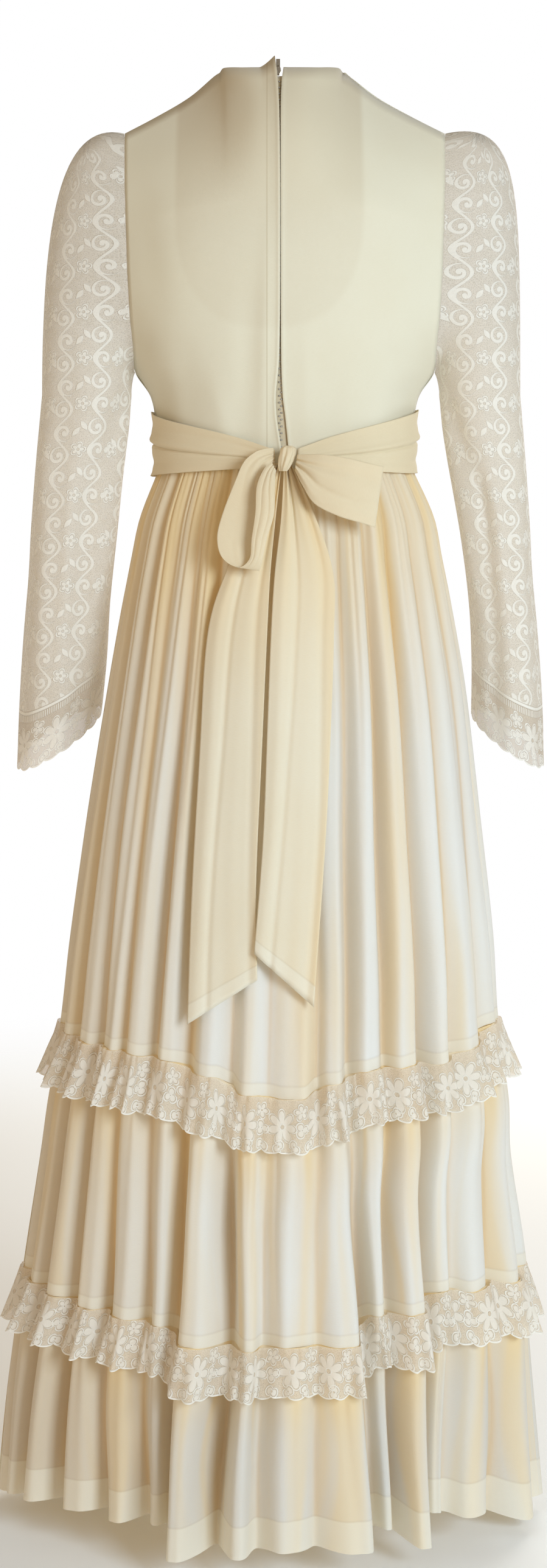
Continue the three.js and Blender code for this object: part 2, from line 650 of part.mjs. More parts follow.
// The sash from the side (at 0) to the knot (at 1): heights of its edges and how far it stands off the back.
const SASH_RIGHT = [
  { at: 0, angle: 89.8, topZ: -334, lowZ: -396, off: 2.8 },
  { at: 0.25, angle: 66, topZ: -341, lowZ: -397, off: 2.8 },
  { at: 0.5, angle: 40, topZ: -352, lowZ: -396, off: 3.5 },
  { at: 0.75, angle: 20, topZ: -363, lowZ: -394, off: 6 },
  { at: 1, angle: 5, topZ: -375, lowZ: -392, off: 10 },
];
const SASH_LEFT = [
  { at: 0, angle: 89.8, topZ: -336, lowZ: -399, off: 2.8 },
  { at: 0.25, angle: 66, topZ: -344, lowZ: -398, off: 2.8 },
  { at: 0.5, angle: 40, topZ: -354, lowZ: -396, off: 3.5 },
  { at: 0.75, angle: 20, topZ: -364, lowZ: -394, off: 6 },
  { at: 1, angle: 4, topZ: -376, lowZ: -392, off: 10 },
];
// The waist that the sash goes round.
const WAIST = [
  { z: -330, wide: 130, back: 90.5, front: 98 },
  { z: -352, wide: 126.4, back: 88.5, front: 94.5 },
  { z: -375, wide: 125.4, back: 88, front: 92.6 },
  { z: -394, wide: 125.3, back: 88, front: 92 },
  { z: -400, wide: 127.6, back: 89.6, front: 93.6 },
];
const waistPoint = (angle, z, off) => {
  const wide = read(WAIST, "z", "wide", z) + off;
  const facing = Math.cos(angle) > 0 ? "back" : "front";
  const deep = read(WAIST, "z", facing, z) + off;
  return new THREE.Vector3(wide * Math.sin(angle), -deep * Math.cos(angle), z);
};
const SASH_ROWS = 4;
[
  ["sash_wrap_left", SASH_LEFT, -1],
  ["sash_wrap_right", SASH_RIGHT, 1],
].forEach(([name, table, side]) => {
  const grid = [];
  for (let r = 0; r <= SASH_ROWS; r++) {
    const line = [];
    for (let c = 0; c <= 12; c++) {
      const at = c / 12;
      const low = read(table, "at", "lowZ", at);
      const z = lerp(read(table, "at", "topZ", at), low, r / SASH_ROWS);
      const soft = 1.2 * Math.sin(Math.PI * at) * (r % 2);
      line.push(
        waistPoint(
          side * read(table, "at", "angle", at) * RAD,
          z,
          read(table, "at", "off", at) + soft,
        ),
      );
    }
    grid.push(line);
  }
  addWall(name, side > 0 ? turned(grid) : grid, CLOTH, COLORS.sash);
});
const sashFront = [];
for (let r = 0; r <= 2; r++) {
  const line = [];
  for (let c = 0; c <= 20; c++) {
    const angle = lerp(90.2, 269.8, c / 20) * RAD;
    const sideShare = (1 + Math.sin(angle)) / 2;
    const top = lerp(-336, -334, sideShare);
    const low = lerp(-399, -396, sideShare);
    line.push(waistPoint(angle, lerp(top, low, r / 2), 2.8));
  }
  sashFront.push(line);
}
addWall("sash_front", sashFront, CLOTH, COLORS.sash, "ends");

// ---------- bow ----------

// Cross lines of each loop's ribbon from the knot round its fold and back: both edges, and how far out it stands.
const LOOP_LEFT = [
  { topX: -11, topZ: -374.3, lowX: -11, lowZ: -388, out: 103 },
  { topX: -20, topZ: -375.5, lowX: -18, lowZ: -394, out: 106 },
  { topX: -29, topZ: -379, lowX: -22.8, lowZ: -403, out: 109 },
  { topX: -39, topZ: -388, lowX: -24, lowZ: -418, out: 111 },
  { topX: -47, topZ: -406, lowX: -21.6, lowZ: -434.7, out: 114 },
  { topX: -58.1, topZ: -434.7, lowX: -19.4, lowZ: -456, out: 119 },
  { topX: -63.6, topZ: -458, lowX: -21, lowZ: -474, out: 124 },
  { topX: -59, topZ: -477, lowX: -24, lowZ: -485, out: 128 },
  { topX: -44, topZ: -486, lowX: -24, lowZ: -488.5, out: 133 },
  { topX: -33, topZ: -478, lowX: -21, lowZ: -477, out: 138 },
  { topX: -31.1, topZ: -460, lowX: -17, lowZ: -458, out: 138 },
  { topX: -27.7, topZ: -435, lowX: -10.7, lowZ: -437, out: 134 },
  { topX: -26.6, topZ: -412, lowX: -10, lowZ: -413.6, out: 128 },
  { topX: -20.5, topZ: -396, lowX: -9.5, lowZ: -402, out: 122 },
  { topX: -13, topZ: -388, lowX: -9, lowZ: -396, out: 116 },
];
const LOOP_RIGHT = [
  { topX: 11, topZ: -381, lowX: 9, lowZ: -396, out: 112 },
  { topX: 23.9, topZ: -380.7, lowX: 16, lowZ: -410, out: 119 },
  { topX: 38, topZ: -381.3, lowX: 27, lowZ: -427, out: 124 },
  { topX: 59.5, topZ: -384.7, lowX: 49, lowZ: -438.5, out: 126 },
  { topX: 78.3, topZ: -389.2, lowX: 70, lowZ: -444.8, out: 123 },
  { topX: 89.5, topZ: -391.6, lowX: 81.5, lowZ: -448.5, out: 119.5 },
  { topX: 92, topZ: -392.6, lowX: 84, lowZ: -449, out: 115.5 },
  { topX: 89, topZ: -394, lowX: 81, lowZ: -447, out: 112 },
  { topX: 78, topZ: -394.5, lowX: 70, lowZ: -441, out: 110 },
  { topX: 60, topZ: -393.5, lowX: 52, lowZ: -432, out: 109 },
  { topX: 38.3, topZ: -389, lowX: 30, lowZ: -418, out: 108 },
  { topX: 20, topZ: -386, lowX: 15, lowZ: -404, out: 107 },
];
// The belly of a ribbon between its edges, which stands out further than they do.
function ribbon(table, belly, columns) {
  return table.map((row) => {
    const line = [];
    for (let c = 0; c <= columns; c++) {
      const t = c / columns;
      line.push(
        new THREE.Vector3(
          lerp(row.topX, row.lowX, t),
          -(row.out + belly * Math.sin(Math.PI * t)),
          lerp(row.topZ, row.lowZ, t),
        ),
      );
    }
    return line;
  });
}
addWall("bow_loop_left", ribbon(LOOP_LEFT, 1.5, 4), CLOTH, COLORS.sash);
addWall("bow_loop_right", turned(ribbon(LOOP_RIGHT, 1.5, 4)), CLOTH, COLORS.sash);

// The knot: rings of a wrapped lump that leans to the wearer's left towards its lower end.
const KNOT = [
  { z: -373, x: 3, wide: 4, deep: 3 },
  { z: -375, x: 2.6, wide: 6.4, deep: 6 },
  { z: -380, x: 2, wide: 7, deep: 7.6 },
  { z: -386, x: 0.6, wide: 6.6, deep: 8 },
  { z: -392, x: -1, wide: 5.4, deep: 6.8 },
  { z: -396, x: -2, wide: 3.6, deep: 4 },
];
const KNOT_OUT = -108;
const KNOT_SIDES = 12;
const knotPoints = [];
KNOT.forEach((row) => {
  for (let c = 0; c < KNOT_SIDES; c++) {
    const angle = (2 * Math.PI * c) / KNOT_SIDES;
    knotPoints.push(
      row.x + row.wide * Math.cos(angle),
      KNOT_OUT + row.deep * Math.sin(angle),
      row.z,
    );
  }
});
const knotIndex = [];
for (let r = 0; r < KNOT.length - 1; r++)
  for (let c = 0; c < KNOT_SIDES; c++) {
    const a = r * KNOT_SIDES + c;
    const b = r * KNOT_SIDES + ((c + 1) % KNOT_SIDES);
    knotIndex.push(a, a + KNOT_SIDES, b, b, a + KNOT_SIDES, b + KNOT_SIDES);
  }
const lastRing = (KNOT.length - 1) * KNOT_SIDES;
for (let c = 1; c < KNOT_SIDES - 1; c++) {
  knotIndex.push(0, c, c + 1);
  knotIndex.push(lastRing, lastRing + c + 1, lastRing + c);
}
const knot = new THREE.BufferGeometry();
knot.setAttribute("position", new THREE.Float32BufferAttribute(knotPoints, 3));
knot.setIndex(knotIndex);
addMesh("bow_knot", knot, COLORS.sash);

// The tails hang on the skirt: both edges, and how far each cross line stands off it.
const TAIL_LEFT = [
  { leftX: -9, leftZ: -398, rightX: -3.5, rightZ: -400, off: 5 },
  { leftX: -30, leftZ: -440, rightX: -9, rightZ: -440, off: 5 },
  { leftX: -56, leftZ: -492, rightX: -14, rightZ: -492, off: 5 },
  { leftX: -73, leftZ: -550, rightX: -17, rightZ: -550, off: 4 },
  { leftX: -80, leftZ: -660, rightX: -22, rightZ: -660, off: 4 },
  { leftX: -87, leftZ: -789, rightX: -27, rightZ: -775, off: 4 },
  { leftX: -91, leftZ: -908, rightX: -26, rightZ: -866, off: 4 },
];
const TAIL_RIGHT = [
  { leftX: -1, leftZ: -400, rightX: 6, rightZ: -400, off: 8 },
  { leftX: -4, leftZ: -440, rightX: 27, rightZ: -436, off: 8 },
  { leftX: -10, leftZ: -492, rightX: 45, rightZ: -492, off: 8 },
  { leftX: -13.6, leftZ: -550, rightX: 45.3, rightZ: -550, off: 8 },
  { leftX: -17, leftZ: -640, rightX: 42, rightZ: -640, off: 8 },
  { leftX: -21, leftZ: -740, rightX: 37, rightZ: -740, off: 8 },
  { leftX: -29, leftZ: -841, rightX: 26, rightZ: -890, off: 8 },
];
// The skirt's crests at a height, on which the tails lie.
const crestY = (x, z) => {
  const wide = read(SKIRT_RINGS, "z", "wide", z);
  const share = (x - read(SKIRT_RINGS, "z", "middle", z)) / wide;
  return -read(SKIRT_RINGS, "z", "deep", z) * Math.sqrt(1 - share * share);
};
const TAIL_COLUMNS = 6;
const TAIL_WAVE = 1.6;
[
  ["bow_tail_left", TAIL_LEFT],
  ["bow_tail_right", TAIL_RIGHT],
].forEach(([name, table]) => {
  const grid = table.map((row, r) => {
    const line = [];
    for (let c = 0; c <= TAIL_COLUMNS; c++) {
      const t = c / TAIL_COLUMNS;
      const x = lerp(row.leftX, row.rightX, t);
      const z = lerp(row.leftZ, row.rightZ, t);
      const wave = TAIL_WAVE * Math.sin(2 * Math.PI * t + 0.5) * smooth(r / 3);
      line.push(new THREE.Vector3(x, crestY(x, z) - row.off - wave, z));
    }
    return line;
  });
  addWall(name, grid, CLOTH, COLORS.sash);
});

export default dress;
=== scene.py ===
import math
import bpy
import numpy as np
from mathutils import Matrix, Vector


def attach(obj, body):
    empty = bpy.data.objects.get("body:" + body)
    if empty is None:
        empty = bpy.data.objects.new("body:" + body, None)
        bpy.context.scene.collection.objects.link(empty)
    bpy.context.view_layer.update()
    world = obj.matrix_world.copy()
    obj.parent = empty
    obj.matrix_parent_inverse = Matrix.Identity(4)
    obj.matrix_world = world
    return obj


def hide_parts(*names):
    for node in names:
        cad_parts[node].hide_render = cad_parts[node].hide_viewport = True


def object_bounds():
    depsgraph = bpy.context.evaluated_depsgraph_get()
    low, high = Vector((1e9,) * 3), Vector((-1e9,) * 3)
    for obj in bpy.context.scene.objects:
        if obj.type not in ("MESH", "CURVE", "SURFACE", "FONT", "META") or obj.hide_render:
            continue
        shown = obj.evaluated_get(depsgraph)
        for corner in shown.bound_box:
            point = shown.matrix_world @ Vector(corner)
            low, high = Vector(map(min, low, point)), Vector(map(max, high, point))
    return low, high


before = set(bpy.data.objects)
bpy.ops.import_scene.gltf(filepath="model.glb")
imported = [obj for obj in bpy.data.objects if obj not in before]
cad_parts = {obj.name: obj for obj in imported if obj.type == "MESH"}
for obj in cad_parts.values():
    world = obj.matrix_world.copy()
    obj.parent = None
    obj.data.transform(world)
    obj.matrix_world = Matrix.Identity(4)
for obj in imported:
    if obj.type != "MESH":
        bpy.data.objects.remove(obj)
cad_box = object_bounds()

bpy.ops.object.select_all(action="DESELECT")

# ---------- Camera ----------
# The dress is seen from behind, from about waist height and two and a half metres away.
PICTURE_TALL, PIXELS_PER_METRE = 2576, 1680
FRAME_TALL = PICTURE_TALL / PIXELS_PER_METRE
SENSOR = 36
EYE = (-0.011, -2.6, -0.45)
FRAME_MIDDLE = -0.7
camera = bpy.data.objects.new("camera", bpy.data.cameras.new("camera"))
bpy.context.scene.collection.objects.link(camera)
camera.location = EYE
camera.rotation_euler = (math.pi / 2, 0, 0)
camera.data.sensor_fit = "AUTO"
camera.data.sensor_width = SENSOR
camera.data.lens = SENSOR * abs(EYE[1]) / FRAME_TALL
camera.data.shift_y = (FRAME_MIDDLE - EYE[2]) / FRAME_TALL
camera.data.dof.use_dof = False
bpy.context.scene.camera = camera
bpy.context.scene.view_settings.view_transform = "Standard"

# ---------- Studio ----------
# A pale round floor fades out into a white surround, so every side of the dress is open to view. A cool key
# light stands behind the wearer's right, a warm one fills the other side, and a third lights the front.
FLOOR_GAP = 0.012
FLOOR_REACH, FLOOR_FADE = 2.7, 0.45


def put(tree, kind, inputs=(), **settings):
    """A shader node with its settings and its inputs, which are values, amounts or other nodes' sockets."""
    made = tree.nodes.new("ShaderNode" + kind)
    for name, value in settings.items():
        setattr(made, name, value)
    for name, value in dict(inputs).items():
        value = getattr(value, "socket", value)
        if isinstance(value, bpy.types.NodeSocket):
            tree.links.new(value, made.inputs[name])
        else:
            made.inputs[name].default_value = value
    return made


def start_material(name):
    """A new material, its shader tree and its skin."""
    material = bpy.data.materials.new(name)
    material.use_nodes = True
    return material, material.node_tree, material.node_tree.nodes["Principled BSDF"]


floor_place = (0, 0, cad_box[0][2] - FLOOR_GAP)
bpy.ops.mesh.primitive_circle_add(vertices=96, radius=FLOOR_REACH, fill_type="NGON", location=floor_place)
floor = bpy.context.object
floor.name = "floor"
bpy.ops.object.transform_apply(location=True, rotation=False, scale=False)
paper, paper_tree, paper_skin = start_material("studio_paper")
paper_skin.inputs["Base Color"].default_value = (0.94, 0.97, 1.0, 1)
paper_skin.inputs["Roughness"].default_value = 0.9
paper_place = put(paper_tree, "TexCoord").outputs["Object"]
paper_scale = (1 / FLOOR_REACH, 1 / FLOOR_REACH, 0)
paper_flat = put(paper_tree, "Mapping", {"Vector": paper_place, "Scale": paper_scale}).outputs[0]
paper_round = put(paper_tree, "TexGradient", {0: paper_flat}, gradient_type="SPHERICAL").outputs["Fac"]
fade = {"Value": paper_round, "From Max": FLOOR_FADE}
paper_fade = put(paper_tree, "MapRange", fade, interpolation_type="SMOOTHSTEP").outputs["Result"]
paper_tree.links.new(paper_fade, paper_skin.inputs["Alpha"])
floor.data.materials.append(paper)
bpy.ops.object.select_all(action="DESELECT")

world = bpy.data.worlds.new("studio")
bpy.context.scene.world = world
world.use_nodes = True
room = world.node_tree.nodes["Background"]
room.inputs["Color"].default_value = (1.0, 0.86, 0.67, 1)
room.inputs["Strength"].default_value = 0.42
surround = put(world.node_tree, "Background", {"Color": (1, 1, 1, 1)})
seen = put(world.node_tree, "LightPath").outputs["Is Camera Ray"]
shown = put(world.node_tree, "MixShader", {0: seen, 1: room.outputs[0], 2: surround.outputs[0]})
world.node_tree.links.new(shown.outputs[0], world.node_tree.nodes["World Output"].inputs["Surface"])
# Each light: its name, place, aim, size, power and colour.
LIGHTS = (
    ("key", (1.8, -3.0, 0.1), (0.0, 0.0, -0.6), 1.3, 95, (0.74, 0.88, 1.0)),
    ("fill", (-2.4, -1.9, -0.4), (0.0, 0.0, -0.7), 1.8, 10, (1.0, 0.62, 0.3)),
    ("front", (1.1, 2.9, 0.3), (0.0, 0.0, -0.7), 1.6, 56, (1.0, 0.97, 0.92)),
)
for light_name, place, aim, size, power, tint in LIGHTS:
    lamp = bpy.data.objects.new(light_name, bpy.data.lights.new(light_name, "AREA"))
    bpy.context.scene.collection.objects.link(lamp)
    lamp.location = place
    toward = [a - b for a, b in zip(aim, place)]
    across = math.hypot(toward[0], toward[1])
    tilt = math.pi / 2 + math.atan2(toward[2], across)
    lamp.rotation_euler = (tilt, 0, math.atan2(-toward[0], toward[1]))
    lamp.data.shape = "SQUARE"
    lamp.data.size = size
    lamp.data.energy = power
    lamp.data.color = tint

# ---------- Bodice ----------
# The bodice is three plain pieces of fine cream voile: two back halves, the left one lapped over the zip,
# and one front with a round neck. They are sewn at the shoulders and sides.


def table(columns, *rows):
    """Rows of numbers as arrays by column name, with the rows' own count as one more column."""
    named = {name: np.array(values, float) for name, values in zip(columns.split(), zip(*rows))}
    return {"row": np.arange(len(rows), dtype=float), **named}


def read(rows, key, column, at):
    """A column of a table as a smooth curve over its key column."""
    x = rows[key]
    y = rows[column]
    at = np.asarray(at, float)
    if x[0] > x[-1]:
        x = -x
        at = -at
    before = np.clip(np.arange(len(x)) - 1, 0, None)
    after = np.clip(np.arange(len(x)) + 1, None, len(x) - 1)
    slope = (y[after] - y[before]) / (x[after] - x[before])
    i = np.clip(np.searchsorted(x, at, side="left") - 1, 0, len(x) - 2)
    width = x[i + 1] - x[i]
    t = np.clip((at - x[i]) / width, 0, 1)
    even = t * t * (3 - 2 * t)
    bend = (t**3 - 2 * t**2 + t) * slope[i] + (t**3 - t**2) * slope[i + 1]
    return y[i] + (y[i + 1] - y[i]) * even + bend * width


def read_all(rows, key, columns, at):
    """Several columns of a table at once."""
    return [read(rows, key, column, at) for column in columns.split()]


def mix(a, b, t):
    """From a to b, in even steps of t."""
    return a + (b - a) * t


def eased(t):
    """0 to 1 with a soft start and end."""
    t = np.clip(t, 0, 1)
    return t * t * (3 - 2 * t)


def cloth(name, points, material, closed=False, thick=0.0, across=None, turned=None):
    """A sheet of cloth from a grid of points in millimetres, with its threads as a UV map in metres."""
    points = np.asarray(points, float) / 1000
    rows, cols = points.shape[:2]
    spans = cols if closed else cols - 1
    here = np.arange(rows * cols).reshape(rows, cols)
    beside = np.roll(here, -1, axis=1)[:, :spans]
    here = here[:, :spans]
    faces = np.stack([here[:-1], here[1:], beside[1:], beside[:-1]], axis=-1).reshape(-1, 4)
    mesh = bpy.data.meshes.new(name)
    mesh.from_pydata(points.reshape(-1, 3).tolist(), [], faces.tolist())
    wrapped = np.concatenate([points, points[:, :1]], axis=1) if closed else points
    steps = np.linalg.norm(np.diff(wrapped, axis=1), axis=-1).mean(axis=0)
    u = np.concatenate([[0], np.cumsum(steps)]) if across is None else across
    drops = np.linalg.norm(np.diff(points, axis=0), axis=-1).mean(axis=1)
    up = np.repeat(np.concatenate([np.cumsum(drops[::-1])[::-1], [0]]), cols)
    corners = np.stack([here[:-1], here[1:], beside[1:], beside[:-1]], axis=-1)
    if turned is None:
        col_of = np.broadcast_to(np.arange(spans), corners.shape[:2])
        corner_u = np.stack([u[col_of], u[col_of], u[col_of + 1], u[col_of + 1]], axis=-1)
        corner_v = up[corners]
    else:
        angles, girth = turned
        corner_u = angles.ravel()[corners]
        corner_u = (corner_u - np.rint(corner_u - corner_u[..., :1])) * girth
        corner_v = points[..., 2].ravel()[corners]
    layer = mesh.uv_layers.new(name="threads")
    layer.data.foreach_set("uv", np.stack([corner_u, corner_v], axis=-1).ravel())
    from_edge = mesh.attributes.new("from_edge", "FLOAT", "POINT")
    from_edge.data.foreach_set("value", up)
    from_top = mesh.attributes.new("from_top", "FLOAT", "POINT")
    from_top.data.foreach_set("value", up[0] - up)
    mesh.polygons.foreach_set("use_smooth", [True] * len(faces))
    mesh.materials.append(material)
    piece = bpy.data.objects.new(name, mesh)
    bpy.context.scene.collection.objects.link(piece)
    if thick:
        wall = piece.modifiers.new("wall", "SOLIDIFY")
        wall.thickness = thick / 1000
        wall.offset = -1
    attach(piece, "root")
    return piece


def calc(tree, operation, *values):
    return Amount(put(tree, "Math", enumerate(values), operation=operation).outputs[0])


class Amount:
    """A number that changes over the cloth. Arithmetic on it adds Math nodes to its shader tree."""

    def __init__(self, socket):
        self.socket = socket
        self.tree = socket.id_data

    def by(self, operation, *others):
        """Any other Math node on this amount, such as its sine."""
        return calc(self.tree, operation, self, *others)

    def __add__(self, other):
        return self.by("ADD", other)

    def __sub__(self, other):
        return self.by("SUBTRACT", other)

    def __rsub__(self, other):
        return calc(self.tree, "SUBTRACT", other, self)

    def __mul__(self, other):
        return self.by("MULTIPLY", other)

    def __truediv__(self, other):
        return self.by("DIVIDE", other)

    def __rtruediv__(self, other):
        return calc(self.tree, "DIVIDE", other, self)

    def __pow__(self, other):
        return self.by("POWER", other)

    def __abs__(self):
        return self.by("ABSOLUTE")

    def clipped(self):
        """The same amount, kept from 0 to 1."""
        self.socket.node.use_clamp = True
        return self


def split(vector):
    """The x, y and z of a vector."""
    return [Amount(part) for part in put(vector.id_data, "SeparateXYZ", {0: vector}).outputs]


def attribute(tree, name):
    """A number that a cloth's points carry."""
    return Amount(put(tree, "Attribute", attribute_name=name).outputs["Fac"])


def noise(vector, scale, detail):
    inputs = {"Vector": vector, "Scale": scale, "Detail": detail}
    return Amount(put(vector.id_data, "TexNoise", inputs).outputs["Fac"])


def tone(share, dark, light):
    """A colour from dark to light."""
    return put(share.tree, "Mix", {0: share, 6: dark, 7: light}, data_type="RGBA").outputs[2]


def grade(value, low, high):
    """0 below low, 1 above high and smooth between."""
    inputs = {0: value, 1: low, 2: high, 3: 0.0, 4: 1.0}
    return Amount(put(value.tree, "MapRange", inputs, interpolation_type="SMOOTHSTEP").outputs[0])


def start_group(name, inputs, outputs):
    """A new node group, and the sockets of its inputs and outputs."""
    group = bpy.data.node_groups.new(name, "ShaderNodeTree")
    for socket, kind in inputs:
        group.interface.new_socket(socket, in_out="INPUT", socket_type="NodeSocket" + kind)
    for socket in outputs:
        group.interface.new_socket(socket, in_out="OUTPUT", socket_type="NodeSocketFloat")
    return group, group.nodes.new("NodeGroupInput").outputs, group.nodes.new("NodeGroupOutput").inputs


def finish_cloth(material, tree, skin, colour, rough, height, bump, glow_colour, through):
    """Gives a cloth its colour, roughness and relief, and lets a share of the light through it."""
    tree.links.new(colour, skin.inputs["Base Color"])
    tree.links.new(rough.socket, skin.inputs["Roughness"])
    strength, distance = bump
    relief = put(tree, "Bump", {"Height": height, "Strength": strength, "Distance": distance}).outputs[0]
    tree.links.new(relief, skin.inputs["Normal"])
    glow = put(tree, "BsdfTranslucent", {"Color": glow_colour, "Normal": relief})
    both = put(tree, "MixShader", {0: through, 1: skin.outputs[0], 2: glow.outputs[0]})
    tree.links.new(both.outputs[0], tree.nodes["Material Output"].inputs["Surface"])
    return material


# The plain weave of voile: crossing threads with slubs, used by the dress, the sash and the tape.
weave, weave_in, weave_out = start_group(
    "plain_weave", (("Threads", "Vector"), ("Thread size", "Float")), ("Height", "Slub")
)
weave_x, weave_y, _ = split(weave_in["Threads"])
weave_turns = math.pi / Amount(weave_in["Thread size"])
weave_height = (weave_x * weave_turns).by("SINE") * (weave_y * weave_turns).by("SINE")
weave.links.new(weave_height.socket, weave_out["Height"])
slub_place = put(weave, "Mapping", {"Vector": weave_in["Threads"], "Scale": (1.0, 9.0, 1.0)}).outputs[0]
weave.links.new(noise(slub_place, 260.0, 2.0).socket, weave_out["Slub"])

# Tones of voile: doubled, at a band's edge, unlined, of stitches.
# Painted shade of voile: in streaks and below a seam, at the wearer's left, and in the folds' valleys.
STREAK_SHADE_TONE, LEFT_SHADE_TONE = (0.93, 0.76, 0.46, 1), (0.74, 0.59, 0.37, 1)
FOLD_SHADE_TONE, DOUBLED_TONE, BAND_TONE = (0.74, 0.52, 0.26, 1), (0.93, 0.9, 0.78, 1), (0.52, 0.42, 0.26, 1)
UNLINED_TONE, STITCH_TONE = (0.58, 0.47, 0.31, 1), (0.5, 0.4, 0.24, 1)
VOILE_GLOW = (1.0, 0.94, 0.82, 1)
THREAD = 0.00045
STREAK_STRETCH = (26.0, 1.4, 1.0)
LEFT_REACH = (-0.23, -0.02)
LINING_MIDDLE, LINING_HALF, LINING_BEND, LINING_DROP = -0.015, 0.09, -0.15, 0.112
LAP_STITCH = -0.0172


def voile_material(name, dark, light, through, lined=False, band=0.0, shade_reach=0.0):
    """Fine sheer cotton. band is how deep its edge is doubled, shade_reach how far down painted shade goes,
    in metres.
    """
    material, tree, skin = start_material(name)
    threads = put(tree, "UVMap", uv_map="threads").outputs[0]
    woven = put(tree, "Group", {"Threads": threads, "Thread size": THREAD}, node_tree=weave).outputs
    slub = Amount(woven["Slub"])
    place = put(tree, "TexCoord").outputs["Object"]
    x, y, z = split(place)
    colour = tone((noise(place, 9.0, 3.0) * 0.7 + slub * 0.45).clipped(), dark, light)
    if shade_reach:
        # Painted shade: tan streaks down the folds, and deeper shade just below the seam at the top.
        streaks = put(tree, "Mapping", {"Vector": threads, "Scale": STREAK_STRETCH}).outputs[0]
        near_seam = 1.0 - grade(attribute(tree, "from_top"), 0.0, shade_reach)
        streak_shade = grade(noise(streaks, 1.0, 2.0), 0.44, 0.66) * 0.62 + near_seam * 0.6
        colour = tone(streak_shade.clipped(), colour, STREAK_SHADE_TONE)
        # Painted shade: the cloth darker towards the wearer's left, the side away from the key light.
        colour = tone((1.0 - grade(x, *LEFT_REACH)) * 0.45, colour, LEFT_SHADE_TONE)
    # Painted shade deep in the folds' valleys, from a number that the skirt tiers' points carry.
    colour = tone(attribute(tree, "fold_shade") * 0.62, colour, FOLD_SHADE_TONE)
    if band:
        edge = attribute(tree, "from_edge")
        doubled = 1.0 - grade(edge, band - 0.0012, band + 0.0004)
        colour = tone(doubled * 0.55, colour, DOUBLED_TONE)
        band_line = 1.0 - grade(abs(edge - band), 0.0, 0.0018)
        colour = tone(band_line * 0.14, colour, BAND_TONE)
    if lined:
        sideways = abs((x - LINING_MIDDLE) / LINING_HALF) ** 2.6
        below = (LINING_BEND - z).by("MAXIMUM", 0.0)
        unlined = 1.0 - grade(sideways + (below / LINING_DROP) ** 2.2, 0.88, 1.08)
        # Where there is no lining the back is darker; this tone is painted deeper towards the neck as shade
        # on the upper back.
        neck_shade = grade(z, -0.22, -0.03)
        colour = tone(unlined * (neck_shade * 0.32 + 0.12), colour, UNLINED_TONE)
        stitch = 1.0 - grade(abs(x - LAP_STITCH), 0.0003, 0.0009)
        colour = tone(stitch * y.by("LESS_THAN", 0.0) * 0.4, colour, STITCH_TONE)
    skin.inputs["Sheen Weight"].default_value = 0.25
    skin.inputs["Sheen Roughness"].default_value = 0.5
    skin.inputs["Specular IOR Level"].default_value = 0.2
    height = Amount(woven["Height"]) * 0.4 + slub
    warmed = {0: 1.0, 6: colour, 7: VOILE_GLOW}
    glow = put(tree, "Mix", warmed, data_type="RGBA", blend_type="MULTIPLY").outputs[2]
    rough = slub * 0.12 + 0.8
    return finish_cloth(material, tree, skin, colour, rough, height, (0.25, 0.0004), glow, through)


VOILE_DARK = (0.87, 0.85, 0.78, 1)
VOILE_LIGHT = (0.9, 0.94, 0.96, 1)
bodice_voile = voile_material("bodice_voile", (0.76, 0.69, 0.51, 1), (0.84, 0.81, 0.67, 1), 0.1, lined=True)

BODICE_BACK = table(
    "zMid deep edgeZ edgeX edgeY round",
    (-393.2, 88, -393.2, 125, 0.2, 0.5),
    (-352, 88, -352, 126, 0.2, 0.5),
    (-322, 91, -322, 131, 0.2, 0.5),
    (-290, 95, -298, 146, 0.2, 0.52),
    (-262, 98, -276, 147, 24, 0.56),
    (-228, 100, -248, 149, 43, 0.64),
    (-185, 101, -210, 151, 51, 0.74),
    (-135, 98, -160, 153, 46, 0.85),
)
BODICE_FRONT = table(
    "zMid deep edgeZ edgeX edgeY round",
    (-393.2, 92, -393.2, 125, 0.2, 0.5),
    (-352, 94, -352, 126, 0.2, 0.5),
    (-322, 99, -322, 131, 0.2, 0.5),
    (-290, 107, -298, 146, 0.2, 0.52),
    (-262, 114, -276, 145, 24, 0.58),
    (-228, 118, -248, 143, 43, 0.66),
    (-185, 115, -210, 143, 52, 0.78),
    (-135, 104, -160, 146, 47, 0.9),
)
NECK_TO_TIP = (
    (0.37, 57, 0.2, -4.6),
    (0.42, 64, 0.2, -8.6),
    (0.6, 91, 0.2, -29),
    (0.8, 124, 0.2, -47.5),
    (1, 156.5, 0.2, -64),
)
BACK_TOP = table("at x y z", (0, 0, 58, -9), (0.2, 31, 51, -8), (0.32, 52, 24, -4), *NECK_TO_TIP)
FRONT_TOP = table(
    "at x y z",
    (0, 0, 68, -62),
    (0.07, 11.2, 67.5, -61),
    (0.2, 32, 58, -50),
    (0.32, 53, 30, -24),
    *NECK_TO_TIP,
)
SLIT = table(
    "z lap side",
    (6, -13, 4),
    (-11, -9.5, -2),
    (-26, -7.4, -3.4),
    (-60, -5.4, -4.3),
    (-200, -4.8, -4.3),
    (-290, -5.8, -3.8),
    (-325, -8.8, -2.4),
    (-345, -8, 0),
    (-376, -3.6, 3),
    (-394, -3.2, 3.4),
)
TOP_ROW = 8
SHOULDER_SWELL = (15, 2)
SIDE_GAP = 0.2


